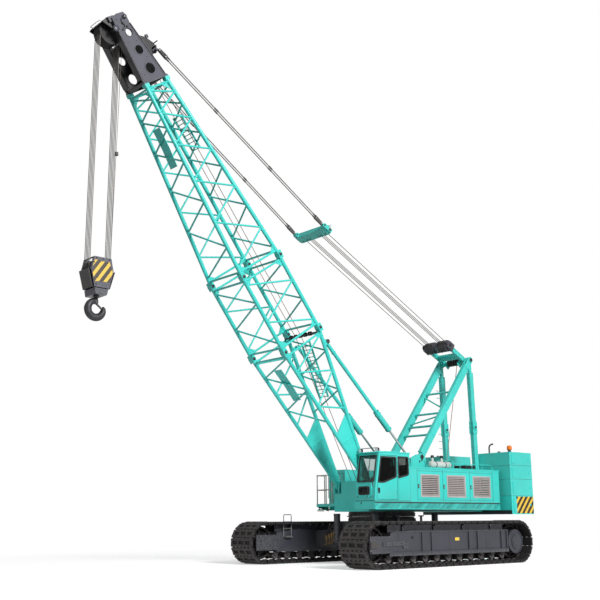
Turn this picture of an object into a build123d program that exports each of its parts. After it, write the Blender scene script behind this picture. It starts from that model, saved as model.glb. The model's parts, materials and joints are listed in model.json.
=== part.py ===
from build123d import *
from math import cos, pi, radians, sin
import os

os.makedirs("parts", exist_ok=True)

# Frame: millimetres, +X forwards, +Y to the crane's left (cab side), +Z up.
# The origin is on the ground under the slewing axis.

# ---- driving dimensions -----------------------------------------------------------------
GAUGE = 5800                       # between the track centre lines
TRACK_LENGTH, TRACK_HEIGHT, SHOE_WIDTH = 8700, 1500, 1220
SHOE_COUNT, BELT_DEPTH, GROUSER = 56, 150, 45
# share of a shoe's pitch, and depth below the belt's outer face
SHOE_PROFILE = ((0.0, GROUSER), (0.12, 0), (0.88, 0), (0.999, GROUSER))
ROLLER_PITCH, ROLLER_COUNT, ROLLER_RADIUS = 590, 11, 120

RING_RADIUS, RING_BOTTOM, RING_SPLIT = 1200, 1500, 1665
DECK_BOTTOM, DECK_TOP = 1840, 2180
HALF_WIDTH, HOUSE_TOP, HOUSE_REAR = 1900, 3390, -4610
BAY_HALF = 980                     # half width of the open bay between the two houses
CAB_FRONT, CAB_REAR, CAB_INNER, CAB_TOP = 2250, 460, 920, 3850
WALL = 60

REST_ANGLE = 55.9                  # boom angle above level
FOOT_X, FOOT_Z = 1430, 2800        # boom foot pin
BOOM_X, BOOM_Z = 1290, 2800        # origin of the boom's own axes: s along it, n up and back
LEG_Y = 790                        # boom foot legs, from the centre plane
CHORD_RADIUS, LACE_RADIUS = 70, 32

GANTRY_Y = 750
GANTRY_FOOT = (-1370, 3860)
GANTRY_TOP = (-4530, 7900)
GANTRY_REAR_FOOT = (-4690, 2500)
SPREADER = (3263, 11958)           # middle of the upper spreader
SPREADER_HALF = 870
PENDANT_PIN = (16790, 60)          # s, n on the boom
HEAD_SHAFT = (17850, -1050)        # s, n of the head sheaves
BACKSTOP_PIN = (5280, 1030)        # s, n on the boom
BACKSTOP_FOOT = (-870, 3690)
SHEAVE_RIM, SHEAVE_GROOVE, SHEAVE_PITCH, SHEAVE_COUNT = 400, 340, 84, 5
ROPE_RADIUS = 14
BLOCK_Z = 8950                     # hook block's sheave shaft

BOOM = Location((BOOM_X, 0, BOOM_Z), (0, -REST_ANGLE, 0))
FOOT_OFFSET = FOOT_X - BOOM_X
FOOT_PIN = (FOOT_OFFSET * cos(radians(REST_ANGLE)), -FOOT_OFFSET * sin(radians(REST_ANGLE)))


def boom_point(s, n, y=0):
    """A place on the boom, in the crane's frame."""
    a = radians(REST_ANGLE)
    return (BOOM_X + s * cos(a) - n * sin(a), y, BOOM_Z + s * sin(a) + n * cos(a))


# ---- shape helpers ----------------------------------------------------------------------
FROM_END = (Align.CENTER, Align.CENTER, Align.MIN)


def block(x0, x1, y0, y1, z0, z1):
    middle = Pos((x0 + x1) / 2, (y0 + y1) / 2, (z0 + z1) / 2)
    return middle * Box(abs(x1 - x0), abs(y1 - y0), abs(z1 - z0))


def rod(p, q, radius):
    """Round bar from p to q."""
    a, b = Vector(*p), Vector(*q)
    return Plane(origin=a, z_dir=(b - a)) * Cylinder(radius, (b - a).length, align=FROM_END)


def beam(p, q, depth, width):
    """Rectangular bar in an X-Z plane from p to q; width is along Y."""
    a, b = Vector(*p), Vector(*q)
    return Plane(origin=a, x_dir=(0, 1, 0), z_dir=(b - a)) * Box(width, depth, (b - a).length, align=FROM_END)


def across(x, z, y0, y1, radius):
    """Round bar along Y."""
    return rod((x, min(y0, y1), z), (x, max(y0, y1), z), radius)


def plate(points, y0, y1):
    """Polygon of (x, z) points, from y0 to y1."""
    face = Plane.XZ * make_face(Polyline(*points, close=True))
    return extrude(Pos(0, max(y0, y1), 0) * face, amount=abs(y1 - y0))


def fuse(shapes):
    shapes = list(shapes)
    return shapes[0].fuse(*shapes[1:]) if len(shapes) > 1 else shapes[0]


def save(name, *shapes):
    solids = [solid for shape in shapes for solid in shape.solids()]
    part = solids[0] if len(solids) == 1 else Compound(children=solids)
    export_step(part, f"parts/{name}.step")


SIDES = (("left", 1), ("right", -1))


# ---- undercarriage ----------------------------------------------------------------------
def track_loop(side):
    """One closed belt: straight runs and round ends, with the shoes' lugs in its outline."""
    radius = TRACK_HEIGHT / 2
    reach = TRACK_LENGTH / 2 - radius
    straight = 2 * reach
    total = 2 * straight + 2 * pi * radius

    def at(distance, offset):
        distance %= total
        arc = pi * radius
        if distance < straight:
            return (-reach + distance, radius + radius - offset)
        distance -= straight
        if distance < arc:
            a = distance / radius
            return (reach + (radius - offset) * sin(a), radius + (radius - offset) * cos(a))
        distance -= arc
        if distance < straight:
            return (reach - distance, offset)
        distance -= straight
        a = distance / radius
        return (-reach - (radius - offset) * sin(a), radius - (radius - offset) * cos(a))

    pitch = total / SHOE_COUNT
    outline = []
    for shoe in range(SHOE_COUNT):
        for part, offset in SHOE_PROFILE:
            outline.append(at((shoe + part) * pitch, offset))
    inner = radius - BELT_DEPTH
    y0 = side * GAUGE / 2
    belt = plate(outline, y0 - SHOE_WIDTH / 2, y0 + SHOE_WIDTH / 2)
    hole = fuse([block(-reach, reach, y0 - SHOE_WIDTH, y0 + SHOE_WIDTH, radius - inner, radius + inner),
                 across(-reach, radius, y0 - SHOE_WIDTH, y0 + SHOE_WIDTH, inner),
                 across(reach, radius, y0 - SHOE_WIDTH, y0 + SHOE_WIDTH, inner)])
    return belt - hole


FRAME_INNER, FRAME_OUTER = 2520, 3300
CARRIER_RADIUS, CARRIER_X = 68, (-2300, -750, 750, 2300)
CARRIER_Z = TRACK_HEIGHT - BELT_DEPTH - CARRIER_RADIUS - 3
IDLER_X = TRACK_LENGTH / 2 - TRACK_HEIGHT / 2
FRAME_PROFILE = [(-2990, 400), (-2990, 1180), (2050, 1200), (2990, 1130), (2990, 420)]
FRAME_RIBS = (1490, 1020, -930, -1400, -2740, -3060)
FORK_WIDTH, RIB_WIDTH = 60, 40


def track_frame(side):
    y0, y1 = side * FRAME_INNER, side * FRAME_OUTER
    body = plate(FRAME_PROFILE, y0, y1)
    ribs = []
    for x in FRAME_RIBS:
        rib = (x - RIB_WIDTH / 2, x + RIB_WIDTH / 2, side * FRAME_OUTER, side * (FRAME_OUTER + RIB_WIDTH))
        ribs.append(block(*rib, 520, 1150))
    sill = block(-3100, 3100, side * FRAME_OUTER, side * (FRAME_OUTER + 60), 400, 520)
    forks = []
    for y in (FRAME_INNER, FRAME_OUTER - FORK_WIDTH):
        forks.append(block(2990, IDLER_X + 330, side * y, side * (y + FORK_WIDTH), 480, 1030))
        forks.append(block(-3150, -2990, side * y, side * (y + FORK_WIDTH), 400, 1180))
    posts = []
    for x in CARRIER_X:
        for y in (GAUGE / 2 - 320, GAUGE / 2 + 280):
            posts.append(block(x - 50, x + 50, side * y, side * (y + 40), 1150, CARRIER_Z + 60))
    return fuse([body, sill] + ribs + forks + posts)


def end_wheel(x, side, radius, width):
    y0 = side * GAUGE / 2
    return fuse([across(x, TRACK_HEIGHT / 2, y0 - width / 2, y0 + width / 2, radius),
                 across(x, TRACK_HEIGHT / 2, side * 2585, side * 3235, 140)])


def rollers(side):
    y0 = side * GAUGE / 2
    z = BELT_DEPTH + ROLLER_RADIUS + 3
    first = -(ROLLER_COUNT - 1) / 2 * ROLLER_PITCH
    wheels = []
    for i in range(ROLLER_COUNT):
        wheels.append(across(first + i * ROLLER_PITCH, z, y0 - 260, y0 + 260, ROLLER_RADIUS))
    for x in CARRIER_X:
        axle = across(x, CARRIER_Z, y0 - 280, y0 + 280, 30)
        wheels.append(across(x, CARRIER_Z, y0 - 240, y0 + 240, CARRIER_RADIUS).fuse(axle))
    return wheels


WHEEL_RADIUS, WHEEL_WIDTH, DRIVE_RADIUS = 597, 300, 430
idlers, sprockets, track_rollers = [], [], []
for name, side in SIDES:
    save(f"track_{name}", track_loop(side))
    save(f"track_frame_{name}", track_frame(side))
    idlers.append(end_wheel(IDLER_X, side, WHEEL_RADIUS, WHEEL_WIDTH))
    hub = across(-IDLER_X, TRACK_HEIGHT / 2, side * 3060, side * 3380, DRIVE_RADIUS)
    sprockets.append(fuse([end_wheel(-IDLER_X, side, WHEEL_RADIUS, WHEEL_WIDTH), hub]))
    track_rollers += rollers(side)
save("idlers", *idlers)
save("sprockets", *sprockets)
save("track_rollers", *track_rollers)

BODY_REAR, BODY_FRONT, BODY_HALF, BODY_TOP = -1500, 1150, 1350, 1470
BEAM_X, BEAM_HALF = (-1050, 700), 330
beams = []
for x in BEAM_X:
    for side in (1, -1):
        beams.append(block(x - BEAM_HALF, x + BEAM_HALF, side * BODY_HALF, side * FRAME_INNER, 560, 1180))
save("carbody_beams", *beams)

# towing lugs on the front and back, each with an upright hole
TOW_Y, TOW_REACH, TOW_HALF, TOW_HOLE = 500, 110, 100, 40
TOW_LOW, TOW_HIGH = 790, 850
body = [block(BODY_REAR, BODY_FRONT, -BODY_HALF, BODY_HALF, 620, BODY_TOP)]
holes = []
for face, step in ((BODY_FRONT, 1), (BODY_REAR, -1)):
    for y in (-TOW_Y, TOW_Y):
        x = face + step * TOW_REACH
        body.append(block(face, x, y - TOW_HALF, y + TOW_HALF, TOW_LOW, TOW_HIGH))
        body.append(rod((x, y, TOW_LOW), (x, y, TOW_HIGH), TOW_HALF))
        holes.append(rod((x, y, TOW_LOW - 50), (x, y, TOW_HIGH + 50), TOW_HOLE))
carbody = fuse(body)
for hole in holes:
    carbody = carbody - hole
save("carbody", carbody)

JACK_X, JACK_Y, JACK_RADIUS = (-1800, 1340), 1000, 120
FLOAT_X, FLOAT_Y = (-770, 450), 1250
jack_posts = []
for x, face in zip(JACK_X, (BODY_REAR, BODY_FRONT)):
    for y in (-JACK_Y, JACK_Y):
        post = rod((x, y, 740), (x, y, 1775), JACK_RADIUS)
        arm = block(x, face, y - 90, y + 90, 1000, 1350)
        jack_posts.append(fuse([post, arm]))
for x in FLOAT_X:
    for y in (-FLOAT_Y, FLOAT_Y):
        stem = rod((x, y, BODY_TOP), (x, y, 1660), 45)
        jack_posts.append(stem.fuse(rod((x, y, 1660), (x, y, 1700), 105)))
save("carbody_jacks", *jack_posts)
save("slew_ring_lower", rod((0, 0, 1470), (0, 0, RING_SPLIT - 5), RING_RADIUS))

# ---- upper structure --------------------------------------------------------------------
GIRDER_INNER, GIRDER_OUTER, GIRDER_TOP = 580, 900, 2500
FRAME_REAR, FRAME_FRONT = -4760, 1550
pieces = [rod((0, 0, RING_SPLIT + 5), (0, 0, DECK_BOTTOM), RING_RADIUS),
          block(-1700, 900, -GIRDER_INNER, GIRDER_INNER, DECK_BOTTOM, 1960)]
for side in (1, -1):
    girder = (FRAME_REAR, FRAME_FRONT, side * GIRDER_INNER, side * GIRDER_OUTER)
    pieces.append(block(*girder, DECK_BOTTOM, GIRDER_TOP))
for x0, x1 in ((FRAME_FRONT - 100, FRAME_FRONT), (FRAME_REAR, FRAME_REAR + 160)):
    pieces.append(block(x0, x1, -GIRDER_INNER, GIRDER_INNER, DECK_BOTTOM, GIRDER_TOP))
save("main_frame", fuse(pieces))
for name, side, front in (("left", 1, CAB_FRONT), ("right", -1, 900)):
    deck = block(HOUSE_REAR, front, side * GIRDER_OUTER, side * HALF_WIDTH, DECK_BOTTOM + 60, DECK_TOP)
    save(f"deck_{name}", deck)

# two ears a side hold the foot pin: inner face, width
FOOT_EARS = ((650, 60), (870, 40))
FOOT_EAR = [(1000, 2500), (1550, 2500), (1550, 2800), (1500, 2930), (1360, 2930), (1250, 2800)]
FOOT_PIN_RADIUS = 74.95
foot_brackets = []
for side in (1, -1):
    pieces = [plate(FOOT_EAR, side * y, side * (y + width)) for y, width in FOOT_EARS]
    pieces.append(across(FOOT_X, FOOT_Z, side * 650, side * 908, FOOT_PIN_RADIUS))
    foot_brackets.append(fuse(pieces))
save("boom_foot_brackets", *foot_brackets)

# gantry
BRACKET_PLATE = [(-2000, 2500), (-500, 2500), (-780, 3760), (-880, 3800),
                 (-1250, 3960), (-1480, 3960), (-1560, 3860)]
GANTRY_PIN = 60
brackets = []
for side in (1, -1):
    plates = [plate(BRACKET_PLATE, side * y0, side * y1) for y0, y1 in ((650, 690), (810, 850))]
    brackets.append(fuse(plates + [across(*GANTRY_FOOT, side * 690, side * 810, GANTRY_PIN)]))
save("gantry_brackets", *brackets)

# rungs: share of the leg's length, radius; braces: low end and its side, high end and its side
RUNGS = ((0.22, 42), (0.31, 45), (0.44, 42), (0.66, 42))
BRACES = ((0.34, -1, 0.41, 1), (0.48, 1, 0.63, -1))
BRACE_RADIUS = 30
EYE_RADIUS, RUNG_HALF = 130, 675
gx, gz = GANTRY_TOP
fx, fz = GANTRY_FOOT
along = Vector(gx - fx, 0, gz - fz).normalized()
front_legs, cross_bars = [], []
for side in (1, -1):
    leg = []
    y = side * GANTRY_Y
    foot = Vector(fx, y, fz)
    top = Vector(gx, y, gz)
    leg.append(beam(foot + along * 150, top - along * 330, 290, 150))
    leg.append(beam(foot, foot + along * 200, 200, 100) - across(fx, fz, side * 600, side * 900, GANTRY_PIN))
    for y0, y1 in ((660, 700), (800, 840)):
        eye_middle = Vector(gx, side * (y0 + y1) / 2, gz)
        ear = beam(eye_middle - along * 450, eye_middle, 2 * EYE_RADIUS, y1 - y0)
        eye = across(gx, gz, side * y0, side * y1, EYE_RADIUS)
        leg.append(ear.fuse(eye) - across(gx, gz, side * 600, side * 900, GANTRY_PIN))
    front_legs.append(fuse(leg))
cross_bars.append(across(gx, gz, -840, 840, GANTRY_PIN))
LEG_LENGTH = 5129
for t, radius in RUNGS:
    p = Vector(fx, 0, fz) + along * (t * LEG_LENGTH)
    cross_bars.append(across(p.X, p.Z, -RUNG_HALF, RUNG_HALF, radius))
for low, low_side, high, high_side in BRACES:
    p, q = (Vector(fx, 0, fz) + along * (t * LEG_LENGTH) for t in (low, high))
    brace = rod((p.X, low_side * 690, p.Z), (q.X, high_side * 690, q.Z), BRACE_RADIUS)
    cross_bars.append(brace & block(gx, fx, -RUNG_HALF, RUNG_HALF, fz, gz))
save("gantry_front_legs", *front_legs)
save("gantry_cross_bars", *cross_bars)

# rear legs: thin enough for the front legs' ears at the top, box section below them
rx, rz = GANTRY_REAR_FOOT
BOX_LOW, BOX_HIGH, BOX_DEPTH, BOX_WIDTH = 200, 4880, 220, 160
rear_legs = []
for side in (1, -1):
    y = side * GANTRY_Y
    leg = beam((gx, y, gz), (rx, y, rz + 60), 150, 90)
    eye = across(gx, gz, side * 705, side * 795, EYE_RADIUS)
    shoe = block(rx - 60, rx + 60, side * 690, side * 810, rz, rz + 150)
    foot, up = Vector(rx, y, rz), Vector(gx - rx, 0, gz - rz).normalized()
    box = beam(foot + up * BOX_LOW, foot + up * BOX_HIGH, BOX_DEPTH, BOX_WIDTH)
    rear_legs.append(leg.fuse(box, eye, shoe) - across(gx, gz, side * 600, side * 900, GANTRY_PIN))
save("gantry_rear_legs", *rear_legs)

# houses, with louvre openings in their outer walls
LOUVRES = ((-1100, -90), (-2580, -1520), (-4060, -3010))
LOUVRE_BOTTOM, LOUVRE_TOP, LOUVRE_BORDER, SLAT_COUNT = 2340, 3140, 70, 10
PANEL = 40
slat_step = (LOUVRE_TOP - LOUVRE_BOTTOM - 2 * LOUVRE_BORDER) / SLAT_COUNT
grilles = []
for name, side in SIDES:
    front = CAB_REAR - 6 if side > 0 else 900
    inner, outer = side * (BAY_HALF + 20), side * HALF_WIDTH
    cut_from, cut_to = side * (HALF_WIDTH - 60), side * (HALF_WIDTH + 10)
    shell = block(HOUSE_REAR, front, inner, outer, DECK_TOP, HOUSE_TOP)
    hollow = (HOUSE_REAR + PANEL, front - PANEL, inner + side * PANEL, outer - side * PANEL)
    shell = shell - block(*hollow, DECK_TOP + PANEL, HOUSE_TOP - PANEL)
    for x0, x1 in LOUVRES:
        shell = shell - block(x0, x1, cut_from, cut_to, LOUVRE_BOTTOM, LOUVRE_TOP)
        frame = block(x0, x1, side * (HALF_WIDTH - PANEL), outer, LOUVRE_BOTTOM, LOUVRE_TOP)
        opening = (x0 + LOUVRE_BORDER, x1 - LOUVRE_BORDER, cut_from, cut_to)
        frame = frame - block(*opening, LOUVRE_BOTTOM + LOUVRE_BORDER, LOUVRE_TOP - LOUVRE_BORDER)
        slats = []
        for i in range(SLAT_COUNT):
            z = LOUVRE_BOTTOM + LOUVRE_BORDER + slat_step * (i + 0.2)
            slat = (x0 + 60, x1 - 60, side * (HALF_WIDTH - 34), side * (HALF_WIDTH - 12))
            slats.append(block(*slat, z, z + slat_step * 0.6))
        grilles.append(fuse([frame] + slats))
    save(f"house_{name}", shell)
save("grilles", *grilles)
save("engine", block(-3600, -1000, 1120, 1750, 2260, 3150))

# cab
CAB_KNEE, CAB_BROW = (2230, 2560), (2000, CAB_TOP)   # corners of the raked front
CAB_PROFILE = [(CAB_REAR, DECK_TOP), (CAB_FRONT, DECK_TOP), CAB_KNEE, CAB_BROW, (CAB_REAR, CAB_TOP)]
INNER_PROFILE = [(CAB_REAR + WALL, DECK_TOP + WALL), (CAB_FRONT - WALL, DECK_TOP + WALL),
                 (CAB_KNEE[0] - WALL, CAB_KNEE[1]), (CAB_BROW[0] - WALL, CAB_TOP - WALL),
                 (CAB_REAR + WALL, CAB_TOP - WALL)]
DOOR = [(1110, 2240), (2150, 2240), (2130, 2560), (1925, 3750), (1110, 3750)]
DOORWAY = [(1102, 2232), (2158, 2232), (2138, 2562), (1932, 3758), (1102, 3758)]
DOOR_WINDOW = [(1190, 3030), (1790, 2840), (2050, 2840), (1900, 3670), (1190, 3670)]
REAR_WINDOW = [(560, 3120), (1040, 3010), (1040, 3690), (560, 3690)]
SIDE_WINDOW = [(600, 2900), (2000, 2900), (1880, 3690), (600, 3690)]
WINDSCREEN_CUT = [(2100, 2860), (2300, 2860), (2100, 3740), (1900, 3740)]
WINDSCREEN_PANE = [(2160, 2860), (2170, 2860), (2013, 3740), (2003, 3740)]
WINDSCREEN_Y = (CAB_INNER + 70, HALF_WIDTH - 110)
LOW_WINDOW = (CAB_INNER + 150, HALF_WIDTH - 230, 2420, 2760)     # y0, y1, z0, z1
BACK_WINDOW = (CAB_INNER + 150, HALF_WIDTH - 150, 3450, 3720)
OUTER_WALL = (HALF_WIDTH - WALL - 5, HALF_WIDTH + 5)
cab = plate(CAB_PROFILE, CAB_INNER, HALF_WIDTH) - plate(INNER_PROFILE, CAB_INNER + WALL, HALF_WIDTH - WALL)
cab = cab - plate(DOORWAY, *OUTER_WALL)
cab = cab - plate(REAR_WINDOW, *OUTER_WALL)
cab = cab - plate(SIDE_WINDOW, CAB_INNER - 5, CAB_INNER + WALL + 5)
cab = cab - plate(WINDSCREEN_CUT, *WINDSCREEN_Y)
cab = cab - block(2100, 2300, *LOW_WINDOW)
cab = cab - block(CAB_REAR - 5, CAB_REAR + WALL + 5, *BACK_WINDOW)
HINGE_X, HINGE_Y, KNUCKLE, LEAF = 1106, HALF_WIDTH + 16, 14, 8
HINGE_Z, KNUCKLE_LENGTH, LEAF_GAP = (2450, 3000, 3550), 55, 4


def hinge_half(reach, low):
    """One half of each hinge: a knuckle on the hinge line and a leaf on the panel beside it."""
    halves = []
    root = HINGE_X + (LEAF_GAP if reach > 0 else -LEAF_GAP)
    for z in HINGE_Z:
        z0, z1 = z + low, z + low + KNUCKLE_LENGTH
        halves.append(rod((HINGE_X, HINGE_Y, z0), (HINGE_X, HINGE_Y, z1), KNUCKLE))
        halves.append(block(root, HINGE_X + reach, HALF_WIDTH, HALF_WIDTH + LEAF, z0, z1))
    return halves


save("cab_shell", fuse([cab] + hinge_half(-70, 0)))
GLASS = 10
OUTER_PANE = (HALF_WIDTH - 35, HALF_WIDTH - 35 + GLASS)
glass = [plate(REAR_WINDOW, *OUTER_PANE),
         plate(SIDE_WINDOW, CAB_INNER + 25, CAB_INNER + 25 + GLASS),
         plate(WINDSCREEN_PANE, *WINDSCREEN_Y),
         block(2205, 2205 + GLASS, *LOW_WINDOW),
         block(CAB_REAR + 25, CAB_REAR + 25 + GLASS, *BACK_WINDOW)]
save("cab_glass", *glass)
save("lamps", *[block(CAB_FRONT - 5, CAB_FRONT + 75, y - 60, y + 60, 2290, 2390) for y in (1120, 1560)])
door = plate(DOOR, HALF_WIDTH - WALL, HALF_WIDTH) - plate(DOOR_WINDOW, *OUTER_WALL)
save("cab_door", fuse([door] + hinge_half(70, 60)))
save("cab_door_glass", plate(DOOR_WINDOW, *OUTER_PANE))
CAB_FLOOR, SEAT_TOP = DECK_TOP + WALL, 2760
seat = [block(900, 1120, 1250, 1570, CAB_FLOOR, SEAT_TOP - 120),
        block(780, 1300, 1180, 1640, SEAT_TOP - 120, SEAT_TOP),
        block(700, 830, 1180, 1640, SEAT_TOP - 60, 3400)]
save("operator_seat", fuse(seat))
consoles = [block(1700, 1950, 1250, 1600, CAB_FLOOR, 2900), block(900, 1400, 1020, 1130, CAB_FLOOR, 2850)]
save("cab_console", fuse(consoles))

# counterweight: one wide slab at the bottom, two stacks on it with a gap between them
CW_FRONT, CW_REAR, CW_HALF, CW_GAP_HALF = -4820, -6220, 2300, 780
CW_LEVELS = (1730, 2430, 3070, 3600, 4110)
save("counterweight_1", block(CW_REAR, CW_FRONT, -CW_HALF, CW_HALF, *CW_LEVELS[:2]))
for i in (1, 2, 3):
    pair = [block(CW_REAR, CW_FRONT, *sorted((side * CW_GAP_HALF, side * CW_HALF)), *CW_LEVELS[i:i + 2]) for side in (1, -1)]
    save(f"counterweight_{i + 1}", *pair)

# winches: x and z of the drum, its radius
WINCHES = ((-2350, 3050, 330), (-3400, 3050, 330), (-300, 2800, 260))
DRUM_HALF, FLANGE = 530, 20
winches = []
for x, z, radius in WINCHES:
    drum = [across(x, z, -DRUM_HALF, DRUM_HALF, radius)]
    for y in (-DRUM_HALF - FLANGE, DRUM_HALF):
        drum.append(across(x, z, y, y + FLANGE, radius + 130))
    for side in (1, -1):
        drum.append(block(x - 150, x + 150, side * 555, side * 575, 2180, z + 150))
        drum.append(across(x, z, side * 545, side * 575, 100))
    winches.append(fuse(drum))
save("winches", *winches)

# platform at the front right
PLAT_Z, RAIL_R, RAIL_HEIGHT = 2100, 22, 1090
RAIL_X, RAIL_Y = (970, 1430), (-1980, -1150)
platform = [block(950, 1450, -2000, -1000, PLAT_Z - 50, PLAT_Z)]
for x, y in ((RAIL_X[1], RAIL_Y[0]), (RAIL_X[1], -1560), (RAIL_X[1], RAIL_Y[1]), (RAIL_X[0], RAIL_Y[0])):
    platform.append(rod((x, y, PLAT_Z), (x, y, PLAT_Z + RAIL_HEIGHT), RAIL_R))
for z in (PLAT_Z + 550, PLAT_Z + RAIL_HEIGHT):
    platform.append(rod((RAIL_X[1], RAIL_Y[0], z), (RAIL_X[1], RAIL_Y[1], z), RAIL_R))
    platform.append(rod((RAIL_X[1], RAIL_Y[0], z), (RAIL_X[0], RAIL_Y[0], z), RAIL_R))
SKIRT = [(900, PLAT_Z - 40), (1440, PLAT_Z - 40), (1440, PLAT_Z - 90), (900, PLAT_Z - 230)]
for y in (-1960, -1040):
    platform.append(plate(SKIRT, y, y + 40))
STEP_Z = PLAT_Z - 190
platform.append(block(1100, 1400, -2000, -1600, STEP_Z, STEP_Z + 25))
for y in (-2000, -1620):
    platform.append(block(1300, 1340, y, y + 20, STEP_Z, PLAT_Z - 40))
save("front_platform", fuse(platform))

BEACON_X, BEACON_Y, BEACON_NECK = -5050, 2150, 4200
beacon = rod((BEACON_X, BEACON_Y, CW_LEVELS[-1]), (BEACON_X, BEACON_Y, BEACON_NECK), 90)
save("beacon", beacon.fuse(rod((BEACON_X, BEACON_Y, BEACON_NECK), (BEACON_X, BEACON_Y, 4380), 105)))


# ---- boom -------------------------------------------------------------------------------
# ends: s, half width, n of the bottom chords, n of the top chords; lacing stations along s
BASE_END, INSERT_END, TIP_END = 5900, 8870, 15900
FOOT_END = (80, 790, -175, -55)
LOWER_JOINT = (BASE_END, 880, -1020, 900)
UPPER_JOINT = (INSERT_END, 885, -1200, 700)
HEAD_JOINT = (TIP_END, 500, -950, -40)
TIP_STATIONS = (9180, 9990, 10900, 11660, 12430, 13120, 13750, 14330, 14880, 15340, 15660)
SECTIONS = (
    ("boom_base", FOOT_END, LOWER_JOINT, (2900, 3600, 4320, 5050, 5680), True),
    ("boom_insert", LOWER_JOINT, UPPER_JOINT, (6250, 7100, 7850, 8560), True),
    ("boom_tip", UPPER_JOINT, HEAD_JOINT, TIP_STATIONS, False),
)
LUG, LUG_LENGTH, LUG_INSET, END_LACE = 90, 130, 30, 175


def section(start, end, stations, near_first):
    """Two side trusses with their end lugs, and the top and bottom lacing between them.
    Each face is one zigzag, and neighbouring faces land on a chord at alternate stations."""
    def chord_line(side, top):
        def at(s):
            t = (s - start[0]) / (end[0] - start[0])
            width, low, high = (start[i] + (end[i] - start[i]) * t for i in (1, 2, 3))
            return (s, side * width, high if top else low)
        return at

    def laces(a, b):
        points = [(a if (i % 2 == 0) == near_first else b)(s) for i, s in enumerate(stations)]
        bars = [rod(p, q, LACE_RADIUS) for p, q in zip(points, points[1:])]
        ends = [end[0] - END_LACE] + ([start[0] + END_LACE] if start is not FOOT_END else [])
        return bars, [rod(a(s), b(s), LACE_RADIUS + 6) for s in ends]

    near_low, near_top, far_low, far_top = [chord_line(side, top) for side in (1, -1) for top in (False, True)]
    near_laces, far_laces = laces(near_top, near_low), laces(far_low, far_top)
    side_faces = ((near_low, near_top, near_laces), (far_low, far_top, far_laces))
    trusses, chords = [], []
    for low, top, (bars, ends) in side_faces:
        truss = []
        for line in (low, top):
            first = start[0] + (0 if start is FOOT_END else LUG_INSET)
            chord = rod(line(first), line(end[0] - LUG_INSET), CHORD_RADIUS)
            chords.append(chord)
            truss.append(chord)
            for s, step in ((start[0], 1), (end[0], -1)):
                if s != FOOT_END[0]:
                    _, y, n = line(s)
                    truss.append(block(s, s + step * LUG_LENGTH, y - LUG, y + LUG, n - LUG, n + LUG))
        trusses.append(truss + bars + ends)
    return trusses, [laces(near_low, far_low), laces(far_top, near_top)], chords, (near_low, near_top)


GRATE_WIDTH, PLATE_WIDTH, PLATE_DEPTH = 440, 400, 14
RAIL_DEPTH, TREAD_PITCH = 75, 140


def walkway(line, s0, s1):
    """A ladder-like walkway in the plane of the top lacing."""
    half = GRATE_WIDTH / 2
    n0, n1 = line(s0)[2] + 5, line(s1)[2] + 5
    rail = [(s0, n0), (s1, n1), (s1, n1 - RAIL_DEPTH), (s0, n0 - RAIL_DEPTH)]
    pieces = [plate(rail, y - 12, y + 12) for y in (-half, half)]
    count = int((s1 - s0) / TREAD_PITCH)
    for i in range(count + 1):
        t = i / count
        pieces.append(across(s0 + 30 + (s1 - s0 - 60) * t, n0 + (n1 - n0) * t - 25, -half, half, 16))
    return pieces


def guard(line, s0, s1):
    """A plate over the bottom lacing, creased in the middle."""
    n0, n1 = line(s0)[2] + 10, line(s1)[2] + 10
    low = [(s0, n0), ((s0 + s1) / 2, (n0 + n1) / 2 + 25), (s1, n1)]
    high = [(s, n + PLATE_DEPTH) for s, n in reversed(low)]
    return [plate(low + high, -PLATE_WIDTH / 2, PLATE_WIDTH / 2)]


FOOT_WEB = [(80, -180), (2300, -470), (2700, 320), (600, 100), (80, -50)]
BACKSTOP_EAR = [(5190, 800), (5370, 800), (5340, 1090), (5220, 1090)]
DECKING = {"boom_base": ((3950, 5280), (3400, 5500)), "boom_tip": ((13080, 14480), (13300, 14600))}

for name, start, end, stations, near_first in SECTIONS:
    trusses, covers, chords, (low_line, top_line) = section(start, end, stations, near_first)
    if name in DECKING:
        plated, grated = DECKING[name]
        covers[0][0].extend(guard(low_line, *plated))
        covers[1][0].extend(walkway(top_line, *grated))
    if start is FOOT_END:
        for truss, side in zip(trusses, (1, -1)):
            web = plate(FOOT_WEB, side * (LEG_Y - 30), side * (LEG_Y + 30))
            chords.append(web)
            truss.append(web)
            truss.append(across(*FOOT_PIN, side * 740, side * 840, 170))
            truss.append(across(*BACKSTOP_PIN, side * 690, side * 870, 45))
            truss.append(plate(BACKSTOP_EAR, side * 820, side * 870))
    sides = [fuse([BOOM * piece for piece in truss]) for truss in trusses]
    if start is FOOT_END:
        sides = [shape - BOOM * across(*FOOT_PIN, -1000, 1000, 75) for shape in sides]
    laced = []
    for bars, ends in covers:
        shapes = [fuse([BOOM * bar for bar in bars])] + [BOOM * bar for bar in ends]
        for chord in chords:
            shapes = [shape - BOOM * chord for shape in shapes]
        laced += shapes
    save(f"{name}_trusses", *sides)
    save(f"{name}_lacing", *laced)

# guide sheaves under the top of the lower joint
GUIDE_SHAFT, GUIDE_RADIUS = (5800, 730), 80
guide = [across(*GUIDE_SHAFT, -880, 880, 30)]
for y in (-520, -260, 0, 260, 520):
    guide.append(across(*GUIDE_SHAFT, y - 60, y + 60, GUIDE_RADIUS))
save("guide_sheaves", fuse([BOOM * piece for piece in guide]))

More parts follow.
